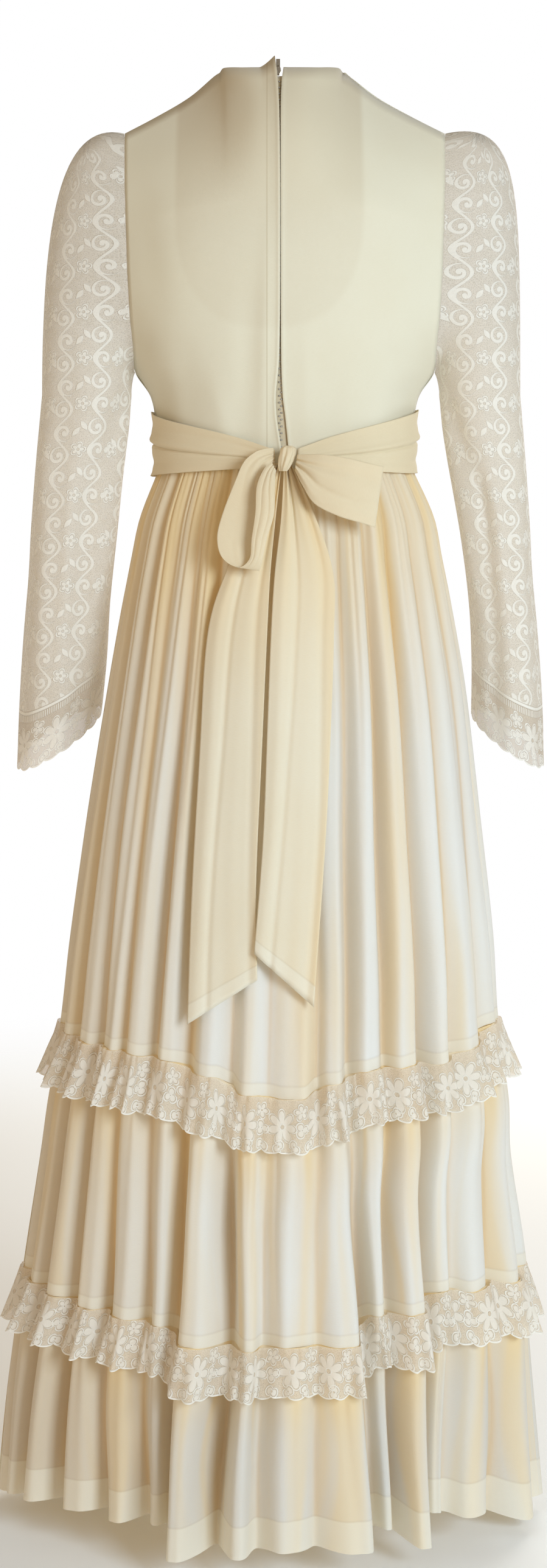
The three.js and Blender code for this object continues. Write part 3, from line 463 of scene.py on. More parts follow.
def bodice_point(rows, top, row, at, side, facing, slit=None):
    """A point of a half, from row 0 at the waist to TOP_ROW, and from 0 in the middle to 1 outside."""
    body = np.minimum(row, TOP_ROW - 1)
    middle_z, deep, edge_x, edge_z = read_all(rows, "row", "zMid deep edgeX edgeZ", body)
    edge_y, bend = read_all(rows, "row", "edgeY round", body)
    top_x, top_y, top_z = read_all(top, "at", "x y z", at)
    up = np.clip(row - TOP_ROW + 1, 0, 1)
    swell = np.sin(math.pi * up) * (1 - 0.35 * at)
    x = mix(edge_x * at, top_x, up)
    y = edge_y + (deep - edge_y) * np.clip(1 - at * at, 0, 1) ** bend
    y = mix(y, np.maximum(SIDE_GAP, top_y), up) + SHOULDER_SWELL[0] * swell
    z = mix(mix(middle_z, edge_z, at * at), top_z, up) + SHOULDER_SWELL[1] * swell
    if slit:
        x = x + (1 - at) * side * read(SLIT, "z", slit, z)
    return np.stack([side * x, facing * y, z], axis=-1)


def softened(points, rounds=40):
    """Evens out a half's depth across its columns, except on its edges and along its top."""
    keep = np.clip(1 - (TOP_ROW - ROW_STEPS) / KEPT_TOP, 0, 1)
    for _ in range(rounds):
        depth = points[..., 1].copy()
        even = (depth[:, :-2] + 2 * depth[:, 1:-1] + depth[:, 2:]) / 4
        points[:, 1:-1, 1] = mix(even, depth[:, 1:-1], keep)
    return points


def creased(points, creases):
    """Pushes soft troughs (a depth below 0) or ridges out of a grid, along lines from x, z to x, z."""
    for x0, z0, x1, z1, half, depth in creases:
        run = np.array([x1 - x0, z1 - z0], float)
        away = points[..., [0, 2]] - (x0, z0)
        t = np.clip(away @ run / (run @ run), 0, 1)
        gap = np.linalg.norm(away - t[..., None] * run, axis=-1)
        fade = np.sin(math.pi * np.clip(t * 0.9 + 0.05, 0, 1))
        points[..., 1] -= depth * fade * np.exp(-((gap / half) ** 2))
    return points


# Soft creases in the back, beside the zip and where the sash pulls the cloth in: x and z of both ends, half
# width and depth.
BACK_CREASES = (
    (-16, -150, -22, -385, 7, 1.6),
    (-34, -210, -38, -390, 12, -1.8),
    (-70, -300, -52, -392, 10, 1.6),
    (-96, -270, -88, -385, 12, -1.5),
    (18, -250, 22, -390, 9, 1.2),
    (48, -300, 44, -392, 11, -1.4),
    (92, -290, 86, -388, 12, 1.5),
    (-138, -120, -120, -270, 14, -1.8),
    (136, -120, 120, -270, 14, -1.8),
)
ROW_STEPS = np.linspace(TOP_ROW, 0, 73)[:, None]
HALF_STEPS = (np.linspace(0, 1, 61)[None, :]) ** 1.5
KEPT_TOP = 0.22
CLOTH_THICK = 0.5
EDGE_PIPING, PIPED_AT, PIPED_HALF = 0.7, 0.012, 0.01
LAP_OVER, LAP_WIDE = 0.9, 0.07
# The top corner of the lap stands up: how far, from which row, across how much and how sharply.
CORNER_LIFT, CORNER_ROWS, CORNER_WIDE, CORNER_BEND = 11, 0.4, 0.1, 1.3

right_half = softened(bodice_point(BODICE_BACK, BACK_TOP, ROW_STEPS, HALF_STEPS, 1, -1, "side"))
right_half = creased(right_half, BACK_CREASES)
left_half = softened(bodice_point(BODICE_BACK, BACK_TOP, ROW_STEPS, HALF_STEPS, -1, -1, "lap"))
corner = np.clip(1 - HALF_STEPS / CORNER_WIDE, 0, 1) ** CORNER_BEND
left_half[..., 2] += CORNER_LIFT * np.clip(1 - (TOP_ROW - ROW_STEPS) / CORNER_ROWS, 0, 1) * corner
for half in (right_half, left_half):
    half[..., 1] -= EDGE_PIPING * np.exp(-(((HALF_STEPS - PIPED_AT) / PIPED_HALF) ** 2))
left_half[..., 1] -= LAP_OVER * (1 - eased(HALF_STEPS / LAP_WIDE))
left_half = creased(left_half, BACK_CREASES)
back_right = cloth("bodice_back_right_cloth", right_half, bodice_voile, thick=CLOTH_THICK)
back_left = cloth("bodice_back_left_cloth", left_half[:, ::-1], bodice_voile, thick=CLOTH_THICK)
front_right = bodice_point(BODICE_FRONT, FRONT_TOP, ROW_STEPS, HALF_STEPS, 1, 1)
front_left = bodice_point(BODICE_FRONT, FRONT_TOP, ROW_STEPS, HALF_STEPS, -1, 1)
front_points = np.concatenate([front_right[:, ::-1], front_left[:, 1:]], axis=1)
front = cloth("bodice_front_cloth", front_points, bodice_voile, thick=CLOTH_THICK)
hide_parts("bodice_back_right")
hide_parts("bodice_back_left")
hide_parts("bodice_front")

# ---------- Zip ----------
# A metal zip on a cream woven tape is sewn behind the slit of the back, and shows where the slit gapes. Its
# teeth are one bevelled nickel block, copied in two rows that mesh, and the slider stands at their top.
# The tape's tan tones are darker than its cream: painted shade of the slit it lies behind.
tape_voile = voile_material("tape_weave", (0.6, 0.5, 0.34, 1), (0.73, 0.63, 0.45, 1), 0.05)
TAPE_EDGES = (-15, 9)
TAPE_TOP, TAPE_BOTTOM = -18, -384
TAPE_FOLD, TAPE_THICK = 0.6, 0.8
# How far the tape lies behind the cloth, below and above a place, and over what height that changes.
TAPE_BEHIND, TAPE_SHIFT_Z, TAPE_SHIFT_TALL = (2.2, 4.2), -150, 110
centre_line = bodice_point(BODICE_BACK, BACK_TOP, np.linspace(0, TOP_ROW, 81), np.zeros(81), 1, -1)


def tape_y(z):
    """The tape's own depth, behind the middle of the back."""
    behind = mix(*TAPE_BEHIND, eased((z - TAPE_SHIFT_Z) / TAPE_SHIFT_TALL))
    return np.interp(z, centre_line[:, 2], centre_line[:, 1]) + behind


tape_z = np.linspace(TAPE_TOP, TAPE_BOTTOM, 60)[:, None]
tape_x = np.linspace(*TAPE_EDGES, 9)[None, :]
tape_bend = TAPE_FOLD * np.abs(tape_x - np.mean(TAPE_EDGES)) / np.ptp(TAPE_EDGES) * 2
tape_points = np.stack(np.broadcast_arrays(tape_x, tape_y(tape_z) + tape_bend, tape_z), axis=-1)
tape = cloth("zip_tape_cloth", tape_points, tape_voile, thick=TAPE_THICK)
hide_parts("zip_tape")

nickel, nickel_tree, nickel_skin = start_material("zip_nickel")
wear = noise(put(nickel_tree, "TexCoord").outputs["Object"], 900.0, 3.0)
nickel_colour = tone(wear, (0.3, 0.27, 0.24, 1), (0.58, 0.55, 0.5, 1))
nickel_tree.links.new(nickel_colour, nickel_skin.inputs["Base Color"])
nickel_tree.links.new((wear * 0.3 + 0.28).socket, nickel_skin.inputs["Roughness"])
nickel_skin.inputs["Metallic"].default_value = 1.0
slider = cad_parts["zip_slider"]
slider.data.materials.clear()
slider.data.materials.append(nickel)

TEETH = 112
TOOTH_STEP = 3.2
TOOTH = (2.0, 0.9, 1.4)
TOOTH_BEVEL = 0.0002
# The rows' middle, each row's place beside it, the first tooth's depth below the tape's top, and how far
# the teeth stand out of the tape.
ZIP_X, ROW_X, FIRST_TOOTH, TEETH_OUT = -4.4, 0.9, 6, 0.5
bpy.ops.object.select_all(action="DESELECT")
bpy.ops.mesh.primitive_cube_add(size=0.001, location=(0, 0, 0))
tooth = bpy.context.object
bpy.ops.object.mode_set(mode="EDIT")
bpy.ops.transform.resize(value=TOOTH)
bpy.ops.mesh.bevel(offset=TOOTH_BEVEL, segments=1, affect="EDGES")
bpy.ops.object.mode_set(mode="OBJECT")
bpy.ops.object.select_all(action="DESELECT")
for i in range(TEETH):
    x = ZIP_X + (ROW_X if i % 2 else -ROW_X)
    z = TAPE_TOP - FIRST_TOOTH - i * TOOTH_STEP
    y = float(tape_y(z)) - TEETH_OUT
    teeth = bpy.data.objects.new("zip_teeth", tooth.data.copy())
    teeth.data.transform(Matrix.Translation((x / 1000, y / 1000, z / 1000)))
    bpy.context.scene.collection.objects.link(teeth)
    teeth.select_set(True)
bpy.data.objects.remove(tooth)
bpy.context.view_layer.objects.active = teeth
bpy.ops.object.join()
teeth.name = "zip_teeth"
teeth.data.materials.append(nickel)
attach(teeth, "root")

# ---------- Skirt ----------
# Three gathered tiers of voile, each longer round than the one above it. Each tier is a back and a front.
# The seam allowances and the hem show as paler bands, because the cloth is doubled there.
tier_voiles = (
    voile_material("upper_voile", VOILE_DARK, VOILE_LIGHT, 0.3, band=0.011, shade_reach=0.3),
    voile_material("middle_voile", VOILE_DARK, VOILE_LIGHT, 0.3, band=0.011, shade_reach=0.12),
    # The hem tier's tones are darker than those above: painted shade, darker towards the bottom of the skirt.
    voile_material("hem_voile", (0.79, 0.76, 0.69, 1), (0.82, 0.84, 0.84, 1), 0.3, band=0.031, shade_reach=0.1),
)
RINGS = table(
    "z wide deep middle fold",
    (-393.8, 125, 88, 1, 3),
    (-439, 144, 101, 2, 5),
    (-477, 152, 110, 1.5, 6.5),
    (-521, 160.5, 119, 1.5, 8),
    (-610, 175.5, 131, 1.5, 11),
    (-737, 193, 141, -1.5, 14),
    (-849, 207, 148, -3, 17),
    (-928, 214, 154, -5, 19),
    (-1005, 226, 164, -6, 22),
    (-1060, 230, 170, -9, 24),
    (-1168, 245, 181, -10, 28),
    (-1282, 256.5, 191, -14, 32),
    (-1390, 265.5, 199, -14.5, 36),
)
# The valleys between the folds: angles from the centre back at the waist, seams and hem, and depth shares.
# Then how far the fold after each valley stands out, leans, and lifts the seams and the hem.
VALLEYS = table(
    "waist seam1 seam2 hem upper middle lower out lean lift1 lift2 lift3",
    (-82, -80, -80, -78, 0.6, 0.8, 0.8, 0, 0, -3, 0, 16),
    (-68, -67, -67, -67, 0.7, 0.9, 0.9, -4, 0, 0, 0, 18),
    (-56, -55, -55, -55.5, 0.9, 0.8, 1, -16, 0, 6, 0, 16),
    (-45, -45, -43.8, -40.5, 0.6, 0.9, 0.9, -20, 0, 10, 2, 11),
    (-35, -35, -31.7, -29.5, 0.9, 0.6, 0.7, -20, 0.8, 14, 4, 12),
    (-25, -25, -24, -21.8, 1, 1, 1, 14, -1.8, 8, -4, -8),
    (-15, -13, -10, -11.8, 0.7, 1.3, 1.3, 7, 0.8, -5, -4, -6),
    (-4, -3, -2.5, -2.5, 0.5, 0.6, 0.6, 6, 0, -8, 0, 0),
    (7, 9.5, 9.5, 9.5, 0.8, 0.5, 0.6, 8, 2, 3, -3, -2),
    (19, 18, 20.8, 23, 1, 1.3, 1, -20, 0, 10, 16, 8),
    (30, 28.5, 27.2, 28.5, 1, 0.8, 0.8, 3, 0.8, 5, 14, -5),
    (41, 40.5, 37.5, 35.5, 1.4, 1.2, 0.9, -20, 0, -4, 22, 17),
    (54, 52, 47, 42, 0.8, 0.6, 0.5, -12, -2, -4, 12, 10),
    (69, 68, 65, 63, 0.8, 0.9, 1, 0, 1, 5, 0, -8),
    (84, 82, 82, 81, 0.6, 0.7, 0.7, 0, 0, 0, 0, -5),
    (98, 98, 97, 99, 0.9, 0.9, 0.9, -5, -1, 3, 4, 6),
    (114, 114, 113, 114, 0.7, 0.8, 0.8, 4, 1, -2, 0, -3),
    (130, 130, 131, 131, 1, 1, 1.1, -6, 0, 4, 6, 8),
    (147, 147, 147, 146, 0.8, 0.7, 0.8, 3, 1.5, -3, -2, 0),
    (163, 163, 162, 162, 1, 1.1, 1.1, 6, -1, 2, 0, -4),
    (179, 179, 180, 181, 0.7, 0.8, 0.8, 0, 0, 0, 3, 4),
    (196, 196, 196, 195, 0.9, 0.9, 1, -5, 1.2, 3, -2, 3),
    (212, 212, 213, 214, 0.8, 1, 0.9, 5, -1, -3, 4, -5),
    (229, 229, 228, 228, 1, 0.8, 1, -6, 0, 4, 0, 7),
    (245, 245, 246, 246, 0.7, 0.9, 0.8, 3, 1, 0, 3, -3),
    (261, 263, 263, 264, 0.7, 0.8, 0.8, 0, 0, -2, 0, 5),
)
FOLDS = len(VALLEYS["waist"])
FOLD_SHARP = 1.9 + 0.9 * np.sin(1.7 * np.arange(FOLDS)) * np.cos(0.9 * np.arange(FOLDS))
SIDE_RIGHT, SIDE_LEFT = 14.4, 25.4
TIERS = [
    dict(zip("top top_drop bottom bottom_drop start end share above lifts grown".split(), row))
    for row in (
        (-393.8, 0, -928, 40, "waist", "seam1", "upper", "upper", (None, "lift1"), (0, 0)),
        (-928, 40, -1168, 27, "seam1", "seam2", "middle", "upper", ("lift1", "lift2"), (0, 0.6)),
        (-1168, 27, -1388, -14, "seam2", "hem", "lower", "middle", ("lift2", "lift3"), (0.6, 1)),
    )
]


def valley(index, column):
    """A valley's own value. Past the last valley the next turn round the dress begins."""
    turns = index // FOLDS
    angles = column in ("waist", "seam1", "seam2", "hem")
    return VALLEYS[column][index - turns * FOLDS] + (360 * turns if angles else 0)


def fold_value(index, part, column):
    """A fold's own value: level over its middle, and halfway to its neighbour's in each valley."""
    if column is None:
        return 0 * part
    own = valley(index, column)
    near = (own + valley(np.where(part < 0.5, index - 1, index + 1), column)) / 2
    return mix(near, own, eased(np.minimum(part, 1 - part) / 0.3))


def tier_point(tier, along, place, move_out=0.0, shallow=1.0):
    """A point of a tier: along is 0 at its top and 1 at its bottom, place counts the valleys round it."""
    along, place = np.broadcast_arrays(np.asarray(along, float), np.asarray(place, float))
    index = np.floor(place).astype(int)
    part = place - index
    first = mix(valley(index, tier["start"]), valley(index, tier["end"]), eased(along))
    second = mix(valley(index + 1, tier["start"]), valley(index + 1, tier["end"]), eased(along))
    sharp = np.where(part < 0.5, FOLD_SHARP[index % FOLDS], FOLD_SHARP[(index + 1) % FOLDS])
    trough = ((1 + np.cos(2 * math.pi * part)) / 2) ** sharp
    grown = mix(*tier["grown"], along)
    lean = fold_value(index, part, "lean") * (1 - trough) * grown
    angle = np.radians(mix(first, second, part) + lean)
    sag = np.cos(angle) ** 2
    lift_top, lift_low = (fold_value(index, part, column) for column in tier["lifts"])
    top = tier["top"] - tier["top_drop"] * sag + lift_top
    z = mix(top, tier["bottom"] - tier["bottom_drop"] * sag + lift_low, along)
    level = mix(tier["top"], tier["bottom"], along)
    wide, deep, middle, fold = read_all(RINGS, "z", "wide deep middle fold", level)
    near = np.where(part < 0.5, index, index + 1)
    depth = fold * mix(valley(near, tier["above"]), valley(near, tier["share"]), eased(along * 1.6))
    out = np.stack([np.sin(angle) / wide, -np.cos(angle) / deep])
    out /= np.linalg.norm(out, axis=0)
    shift = move_out + fold_value(index, part, "out") * grown - shallow * depth * trough
    x = middle + wide * np.sin(angle) + out[0] * shift
    return np.stack([x, -deep * np.cos(angle) + out[1] * shift, z], axis=-1)


# Small gathers, scattered unevenly: how many to a fold, their half width in folds, depth and reach down.
GATHERS_PER_FOLD = 3.6
GATHER_WIDE, GATHER_DEEP, GATHER_REACH = (0.035, 0.11), (0.5, 2.2), (60, 420)
STEPS_PER_FOLD = 34
# The painted shade in a fold's valley: a wide soft half and a sharp one, in folds, and how much gathers
# deepen it.
VALLEY_HALVES, VALLEY_SHADE, GATHER_SHADE = (0.16, 0.045), 0.6, 0.14
chance = np.random.default_rng(7)


def scatter_gathers(per_fold, reach_scale=1.0):
    """Gathers at uneven places: each one's place, half width, depth, reach and drift."""
    count = int(FOLDS * per_fold)
    spots = (np.arange(count) + chance.uniform(-0.42, 0.42, count)) / per_fold
    wide = chance.uniform(*GATHER_WIDE, count)
    deep = chance.uniform(*GATHER_DEEP, count)
    reach = chance.uniform(*GATHER_REACH, count) * reach_scale
    drift = chance.normal(0, 0.00045, count)
    return list(zip(spots, wide, deep, reach, drift))


def gathers(marks, down, place):
    """How far a scatter of gathers draws the cloth in, at a depth below its seam."""
    drawn = np.zeros(np.broadcast(down, place).shape)
    for spot, wide, deep, reach, drift in marks:
        gap = (place - spot - drift * down + FOLDS / 2) % FOLDS - FOLDS / 2
        spread = wide * (0.7 + 0.9 * down / reach)
        fade = np.exp(-((down / reach) ** 2))
        drawn -= deep * fade * np.exp(-((gap / spread) ** 2))
    return drawn


def tier_cloth(tier, marks, start, end, rows):
    """A tier's points with its gathers and small waves, and the painted shade each one gets in a fold's
    valley.
    """
    spans = int(round((end - start) * STEPS_PER_FOLD))
    along = np.linspace(0, 1, rows)[:, None]
    place = np.linspace(start, end, spans + 1)[None, :]
    down = along * (tier["top"] - tier["bottom"])
    free = np.sin(math.pi * along) * np.clip(3 * (place - start), 0, 1) * np.clip(3 * (end - place), 0, 1)
    stray = 0.09 * np.sin(1.7 * place + 0.007 * down) + 0.05 * np.sin(4.3 * place - 0.013 * down)
    place = place + free * stray
    slow = np.sin(2 * math.pi * (0.83 * place + 0.0014 * down))
    slow = slow + np.sin(2 * math.pi * 1.37 * place + 0.006 * down)
    drawn = gathers(marks, down, place) + (0.3 + 0.9 * along) * slow
    near = np.rint(place).astype(int)
    shares = mix(valley(near, tier["above"]), valley(near, tier["share"]), eased(along * 1.6))
    # Painted shade in each fold's valley, deeper where gathers draw the cloth in.
    fold_shade = sum(VALLEY_SHADE * np.exp(-(((place - near) / half) ** 2)) for half in VALLEY_HALVES)
    fold_shade = fold_shade * np.clip(shares, 0, 1.2) * eased(0.25 + down / 200)
    fold_shade = np.clip(fold_shade - GATHER_SHADE * gathers(marks, down, place), 0, 1)
    shallow = 1 + 0.45 * free * np.sin(1.27 * place + 0.005 * down)
    return tier_point(tier, along, place, drawn, shallow), fold_shade


TIER_CUT = ((0.66, 0.58), (0.82, 0.27), (0.9, 0.25))
TIER_ROWS = (54, 34, 34)
TIER_REACH = (1.0, 0.6, 0.6)
HALVES = (("back", SIDE_LEFT - FOLDS, SIDE_RIGHT), ("front", SIDE_RIGHT, SIDE_LEFT))
for number, (tier, cut, rows, reach) in enumerate(zip(TIERS, TIER_CUT, TIER_ROWS, TIER_REACH), 1):
    marks = scatter_gathers(GATHERS_PER_FOLD, reach)
    for part, start, end in HALVES:
        points, fold_shade = tier_cloth(tier, marks, start, end, rows)
        name = "skirt_tier%d_%s" % (number, part)
        piece = cloth(name + "_cloth", points, tier_voiles[number - 1])
        piece.data.attributes.new("fold_shade", "FLOAT", "POINT").data.foreach_set("value", fold_shade.ravel())
        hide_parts(name)

# ---------- Ruffles ----------
# Two gathered ruffles of cotton lace with daisies, sewn over the tops of the second and third tiers. The
# upper edge is drawn tight into the seam and the lower edge is scalloped.
DAISY_STEP, EDGE_STEP = 0.045, 0.018
# The rows of flowers: step, shift, height over the edge, reach, petals and eye.
FLOWER_ROWS = (
    (DAISY_STEP, 0.0, 0.0255, 0.0172, 7, 0.0022),
    (DAISY_STEP, 0.5, 0.039, 0.0082, 5, 0.0009),
    (DAISY_STEP, 0.5, 0.0225, 0.0078, 3, 0.0007),
    (EDGE_STEP, 0.5, 0.0065, 0.0068, 2, 0.0011),
)
PETAL_ROUND, PETAL_DEEP, FLOWER_SWING = 0.6, 0.62, 1.9


def around_line(value, half, soft):
    """1 on a line where the value is 0, with soft sides."""
    return 1.0 - grade(abs(value), half, half + soft)


def strongest(mask, *others):
    """The strongest of several masks."""
    for other in others:
        mask = mask.by("MAXIMUM", other)
    return mask


def flower_row(threads, step, shift, height, reach, count, hole, from_low=None):
    """A row of flowers: their filled petals, and the raised line round the petals and the eye. Metres."""
    across, up, _ = split(threads)
    turns = across / step + shift
    x = (turns.by("FRACT") - 0.5) * step
    y = ((up / height).by("FRACT") - 0.5) * height if from_low is None else from_low - height
    away = (x * x + y * y).by("SQRT")
    turn = (y.by("ARCTAN2", x) + turns.by("FLOOR") * FLOWER_SWING) * (count / 2)
    lobe = abs(turn.by("COSINE")) ** PETAL_ROUND
    past = away - (lobe * PETAL_DEEP + (1 - PETAL_DEEP)) * reach
    inside = 1.0 - grade(past, -0.0019, -0.0011)
    eye = 1.0 - grade(away, hole * 0.8, hole)
    eye_line = around_line(away - hole * 1.4, 0.0003, 0.0006)
    return (inside - eye).clipped(), strongest(around_line(past, 0.0005, 0.0005), eye_line)


def net(threads, per_metre, thin, thick):
    """The fine, irregular net that a lace is worked on."""
    scale = {0: threads, 1: (per_metre, per_metre, 0)}
    scaled = put(threads.id_data, "VectorMath", scale, operation="MULTIPLY").outputs[0]
    cells = put(threads.id_data, "TexVoronoi", {"Vector": scaled, "Scale": 1.0}, feature="DISTANCE_TO_EDGE")
    return 1.0 - grade(Amount(cells.outputs["Distance"]), thin, thick)


LACE_INPUTS = (("Threads", "Vector"), ("Edge", "Float"))
petals, petals_in, petals_out = start_group("daisy_lace", LACE_INPUTS, ("Cloth", "Height"))
low_edge = Amount(petals_in["Edge"])
flowers = [flower_row(petals_in["Threads"], *row, low_edge) for row in FLOWER_ROWS]
petal_fill = strongest(*(fill for fill, rim in flowers))
petal_rim = strongest(*(rim for fill, rim in flowers), 1.0 - grade(low_edge, 0.0012, 0.002))
petal_net = net(petals_in["Threads"], 950, 0.05, 0.3)
petal_cover = strongest(petal_fill * 0.93, petal_rim, petal_net * 0.3 + 0.46)
petals.links.new(petal_cover.socket, petals_out["Cloth"])
petals.links.new((petal_net * 0.1 + strongest(petal_rim, petal_fill * 0.7)).socket, petals_out["Height"])
# The bands of a cuff: its upper cord, the comb of short threads under it, and where the flowers begin.
CORD_AT, CORD_HALF = 0.0022, 0.001
COMB_STEP, COMB_TOP, COMB_LOW = 0.0024, 0.004, 0.0105


def lace_material(name, pattern, shaded_ground, band=False):
    """White cotton lace: filled flowers and raised outlines on a thin net. A cuff has bands along its top."""
    material, tree, skin = start_material(name)
    threads = put(tree, "UVMap", uv_map="threads").outputs[0]
    edge = attribute(tree, "from_edge")
    drawn = put(tree, "Group", {"Threads": threads, "Edge": edge}, node_tree=pattern).outputs
    cover = Amount(drawn["Cloth"])
    height = Amount(drawn["Height"])
    if band:
        top = attribute(tree, "from_top")
        cord = around_line(top - CORD_AT, CORD_HALF, 0.0012)
        comb_wave = (split(threads)[0] * (2 * math.pi / COMB_STEP)).by("SINE")
        comb_zone = grade(top, COMB_TOP, COMB_TOP + 0.0008) * (1.0 - grade(top, COMB_LOW, COMB_LOW + 0.001))
        above = 1.0 - grade(top, COMB_LOW, COMB_LOW + 0.002)
        comb = grade(comb_wave, -0.2, 0.5) * comb_zone
        height = strongest(height * (1.0 - above), cord * 1.6, comb)
        cover = (cover * (1.0 - above) + strongest(cord, comb, 0.6) * above).clipped()
    # Painted shade: the low net is darker than the raised flowers and cords, though all are one white cotton.
    colour = tone(height, shaded_ground, (0.94, 0.92, 0.86, 1))
    tree.links.new(cover.socket, skin.inputs["Alpha"])
    skin.inputs["Sheen Weight"].default_value = 0.15
    skin.inputs["Specular IOR Level"].default_value = 0.25
    rough = height * -0.15 + 0.85
    return finish_cloth(material, tree, skin, colour, rough, height, (0.8, 0.0008), colour, 0.3)


ruffle_lace = lace_material("ruffle_lace", petals, (0.87, 0.79, 0.67, 1))
RUFFLE_CLEAR, RUFFLE_FLARE, RUFFLE_WAVE, RUFFLE_RIPPLE, RUFFLE_DROP = 3.3, 9, 11, 1.8, 51
RUFFLE_SHALLOW = (0.7, 0.55)
RUFFLE_STEPS, WAVES_PER_FOLD = 56, 2
RUFFLE_GATHERS, RUFFLE_REACH = 5.5, 0.12
SCALLOP_WIDE, SCALLOP_DEEP, SCALLOP_FROM, SCALLOP_ROUND = 18, 3, 0.6, 0.6


def scalloped(points, closed=False):
    """Cuts the lower edge of a grid into round scallops, and gives the threads' place across, in metres."""
    low = points[-1]
    lined = np.concatenate([low, low[:1]]) if closed else low
    run = np.concatenate([[0], np.cumsum(np.linalg.norm(np.diff(lined, axis=0), axis=1))])
    count = 2 * max(1, round(run[-1] / SCALLOP_WIDE / 2))
    turn = count * run / run[-1]
    arch = np.abs(np.sin(math.pi * turn[: len(low)]))
    reach = np.clip((np.linspace(0, 1, len(points)) - SCALLOP_FROM) / (1 - SCALLOP_FROM), 0, 1) ** 2
    points[..., 2] -= reach[:, None] * SCALLOP_DEEP * (arch**SCALLOP_ROUND - 1)
    return points, turn * SCALLOP_WIDE / 1000


def ruffle_cloth(tier, marks, start, end):
    """A ruffle's points, which follow the tier under it and flare out in small waves."""
    spans = int(round((end - start) * RUFFLE_STEPS))
    fall = np.linspace(0, 1, 20)[:, None]
    place = np.linspace(start, end, spans + 1)[None, :]
    lean = 0.35 * np.sin(2.1 * place) + 0.2 * np.sin(4.7 * place + 1)
    wave = (1 - np.cos(2 * math.pi * WAVES_PER_FOLD * (place + 0.13 + 0.06 * lean))) / 2
    height = RUFFLE_WAVE * (0.75 + 0.25 * np.sin(2.4 * place))
    open_out = RUFFLE_CLEAR + fall * (RUFFLE_FLARE + height * (wave - 0.5))
    ripple = np.sin(2 * math.pi * (3.3 * place + 0.5 * np.sin(1.9 * place)))
    ripple = ripple * (0.7 + 0.3 * np.sin(5.3 * place))
    open_out = open_out + gathers(marks, fall * RUFFLE_DROP, place) + RUFFLE_RIPPLE * ripple * fall
    shallow = mix(*RUFFLE_SHALLOW, fall)
    points = tier_point(tier, fall * RUFFLE_DROP / (tier["top"] - tier["bottom"]), place, open_out, shallow)
    return scalloped(points)


for number, tier, cut in ((1, TIERS[1], (0.8, 0.055)), (2, TIERS[2], (0.9, 0.055))):
    marks = scatter_gathers(RUFFLE_GATHERS, RUFFLE_REACH)
    for part, start, end in HALVES:
        name = "ruffle%d_%s" % (number, part)
        ruffle_points, scallop_run = ruffle_cloth(tier, marks, start, end)
        ruffle = cloth(name + "_lace", ruffle_points, ruffle_lace, across=scallop_run)
        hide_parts(name)

# ---------- Sleeves ----------
# Wide, straight sleeves of thin lace, with small flowers and scrolls on a fine net. The cap is eased into
# the armhole, and a cuff of deeper lace with a scalloped edge is sewn to the end.
VINE_STEP, VINE_RISE = 0.0353, 0.044
VINE_SWING, VINE_HALF = 0.0078, 0.0015
LEAF_LONG, LEAF_WIDE, LEAF_ROUND = 0.0058, 0.0026, 1.6
scrolls, scrolls_in, scrolls_out = start_group("scroll_lace", LACE_INPUTS, ("Cloth", "Height"))
vine_across, vine_up, _ = split(scrolls_in["Threads"])
vine_turns = vine_across / VINE_STEP
vine_x = (vine_turns.by("FRACT") - 0.5) * VINE_STEP
vine_fall = vine_turns.by("FLOOR") * (0.37 * VINE_RISE) + vine_up
vine_middle = (vine_fall * (2 * math.pi / VINE_RISE)).by("SINE") * VINE_SWING


def beside_vine(side, shift):
    """Across and up from a place beside the vine that comes back in each of its bends, in metres."""
    turns = vine_fall / VINE_RISE + shift
    return vine_x - side, (turns.by("FRACT") - 0.5) * VINE_RISE


def curl(side, reach, pitch, shift, way):
    """One scroll in each bend of the vine: a cord wound into a spiral, and the bud that ends it."""
    x, y = beside_vine(side, shift)
    away = (x * x + y * y).by("SQRT")
    wound = (away / pitch + y.by("ARCTAN2", x) * (way / (2 * math.pi))).by("FRACT")
    cord = around_line(wound - 0.5, 0.2, 0.05) * (1.0 - grade(away, reach - 0.0008, reach))
    return strongest(cord, 1.0 - grade(away, 0.0019, 0.0024))


def leaf(side, shift, lean):
    """A small pointed leaf beside the vine."""
    x, y = beside_vine(side, shift)
    along = x * math.cos(lean) + y * math.sin(lean)
    beside = y * math.cos(lean) - x * math.sin(lean)
    shape = abs(along / LEAF_LONG) ** LEAF_ROUND + abs(beside / LEAF_WIDE)
    return 1.0 - grade(shape, 0.85, 1.15)


sprig_fill, sprig_rim = flower_row(scrolls_in["Threads"], VINE_STEP, 0.5, VINE_RISE, 0.0072, 5, 0.0016)
sprigs = strongest(
    around_line(vine_x - vine_middle, VINE_HALF, 0.0004),
    curl(-0.0019, 0.0092, 0.0074, 0.25, 1),
    curl(0.0019, 0.0092, 0.0074, 0.75, -1),
    leaf(0.0142, 0.72, 0.9),
    leaf(-0.0142, 0.22, 2.2),
    sprig_fill,
)
sleeve_net = net(scrolls_in["Threads"], 620, 0.04, 0.24)
sleeve_cover = strongest(sprigs * 0.94, sprig_rim, sleeve_net * 0.3 + 0.5)
scrolls.links.new(sleeve_cover.socket, scrolls_out["Cloth"])
scrolls.links.new((sleeve_net * 0.12 + strongest(sprigs * 0.8, sprig_rim)).socket, scrolls_out["Height"])

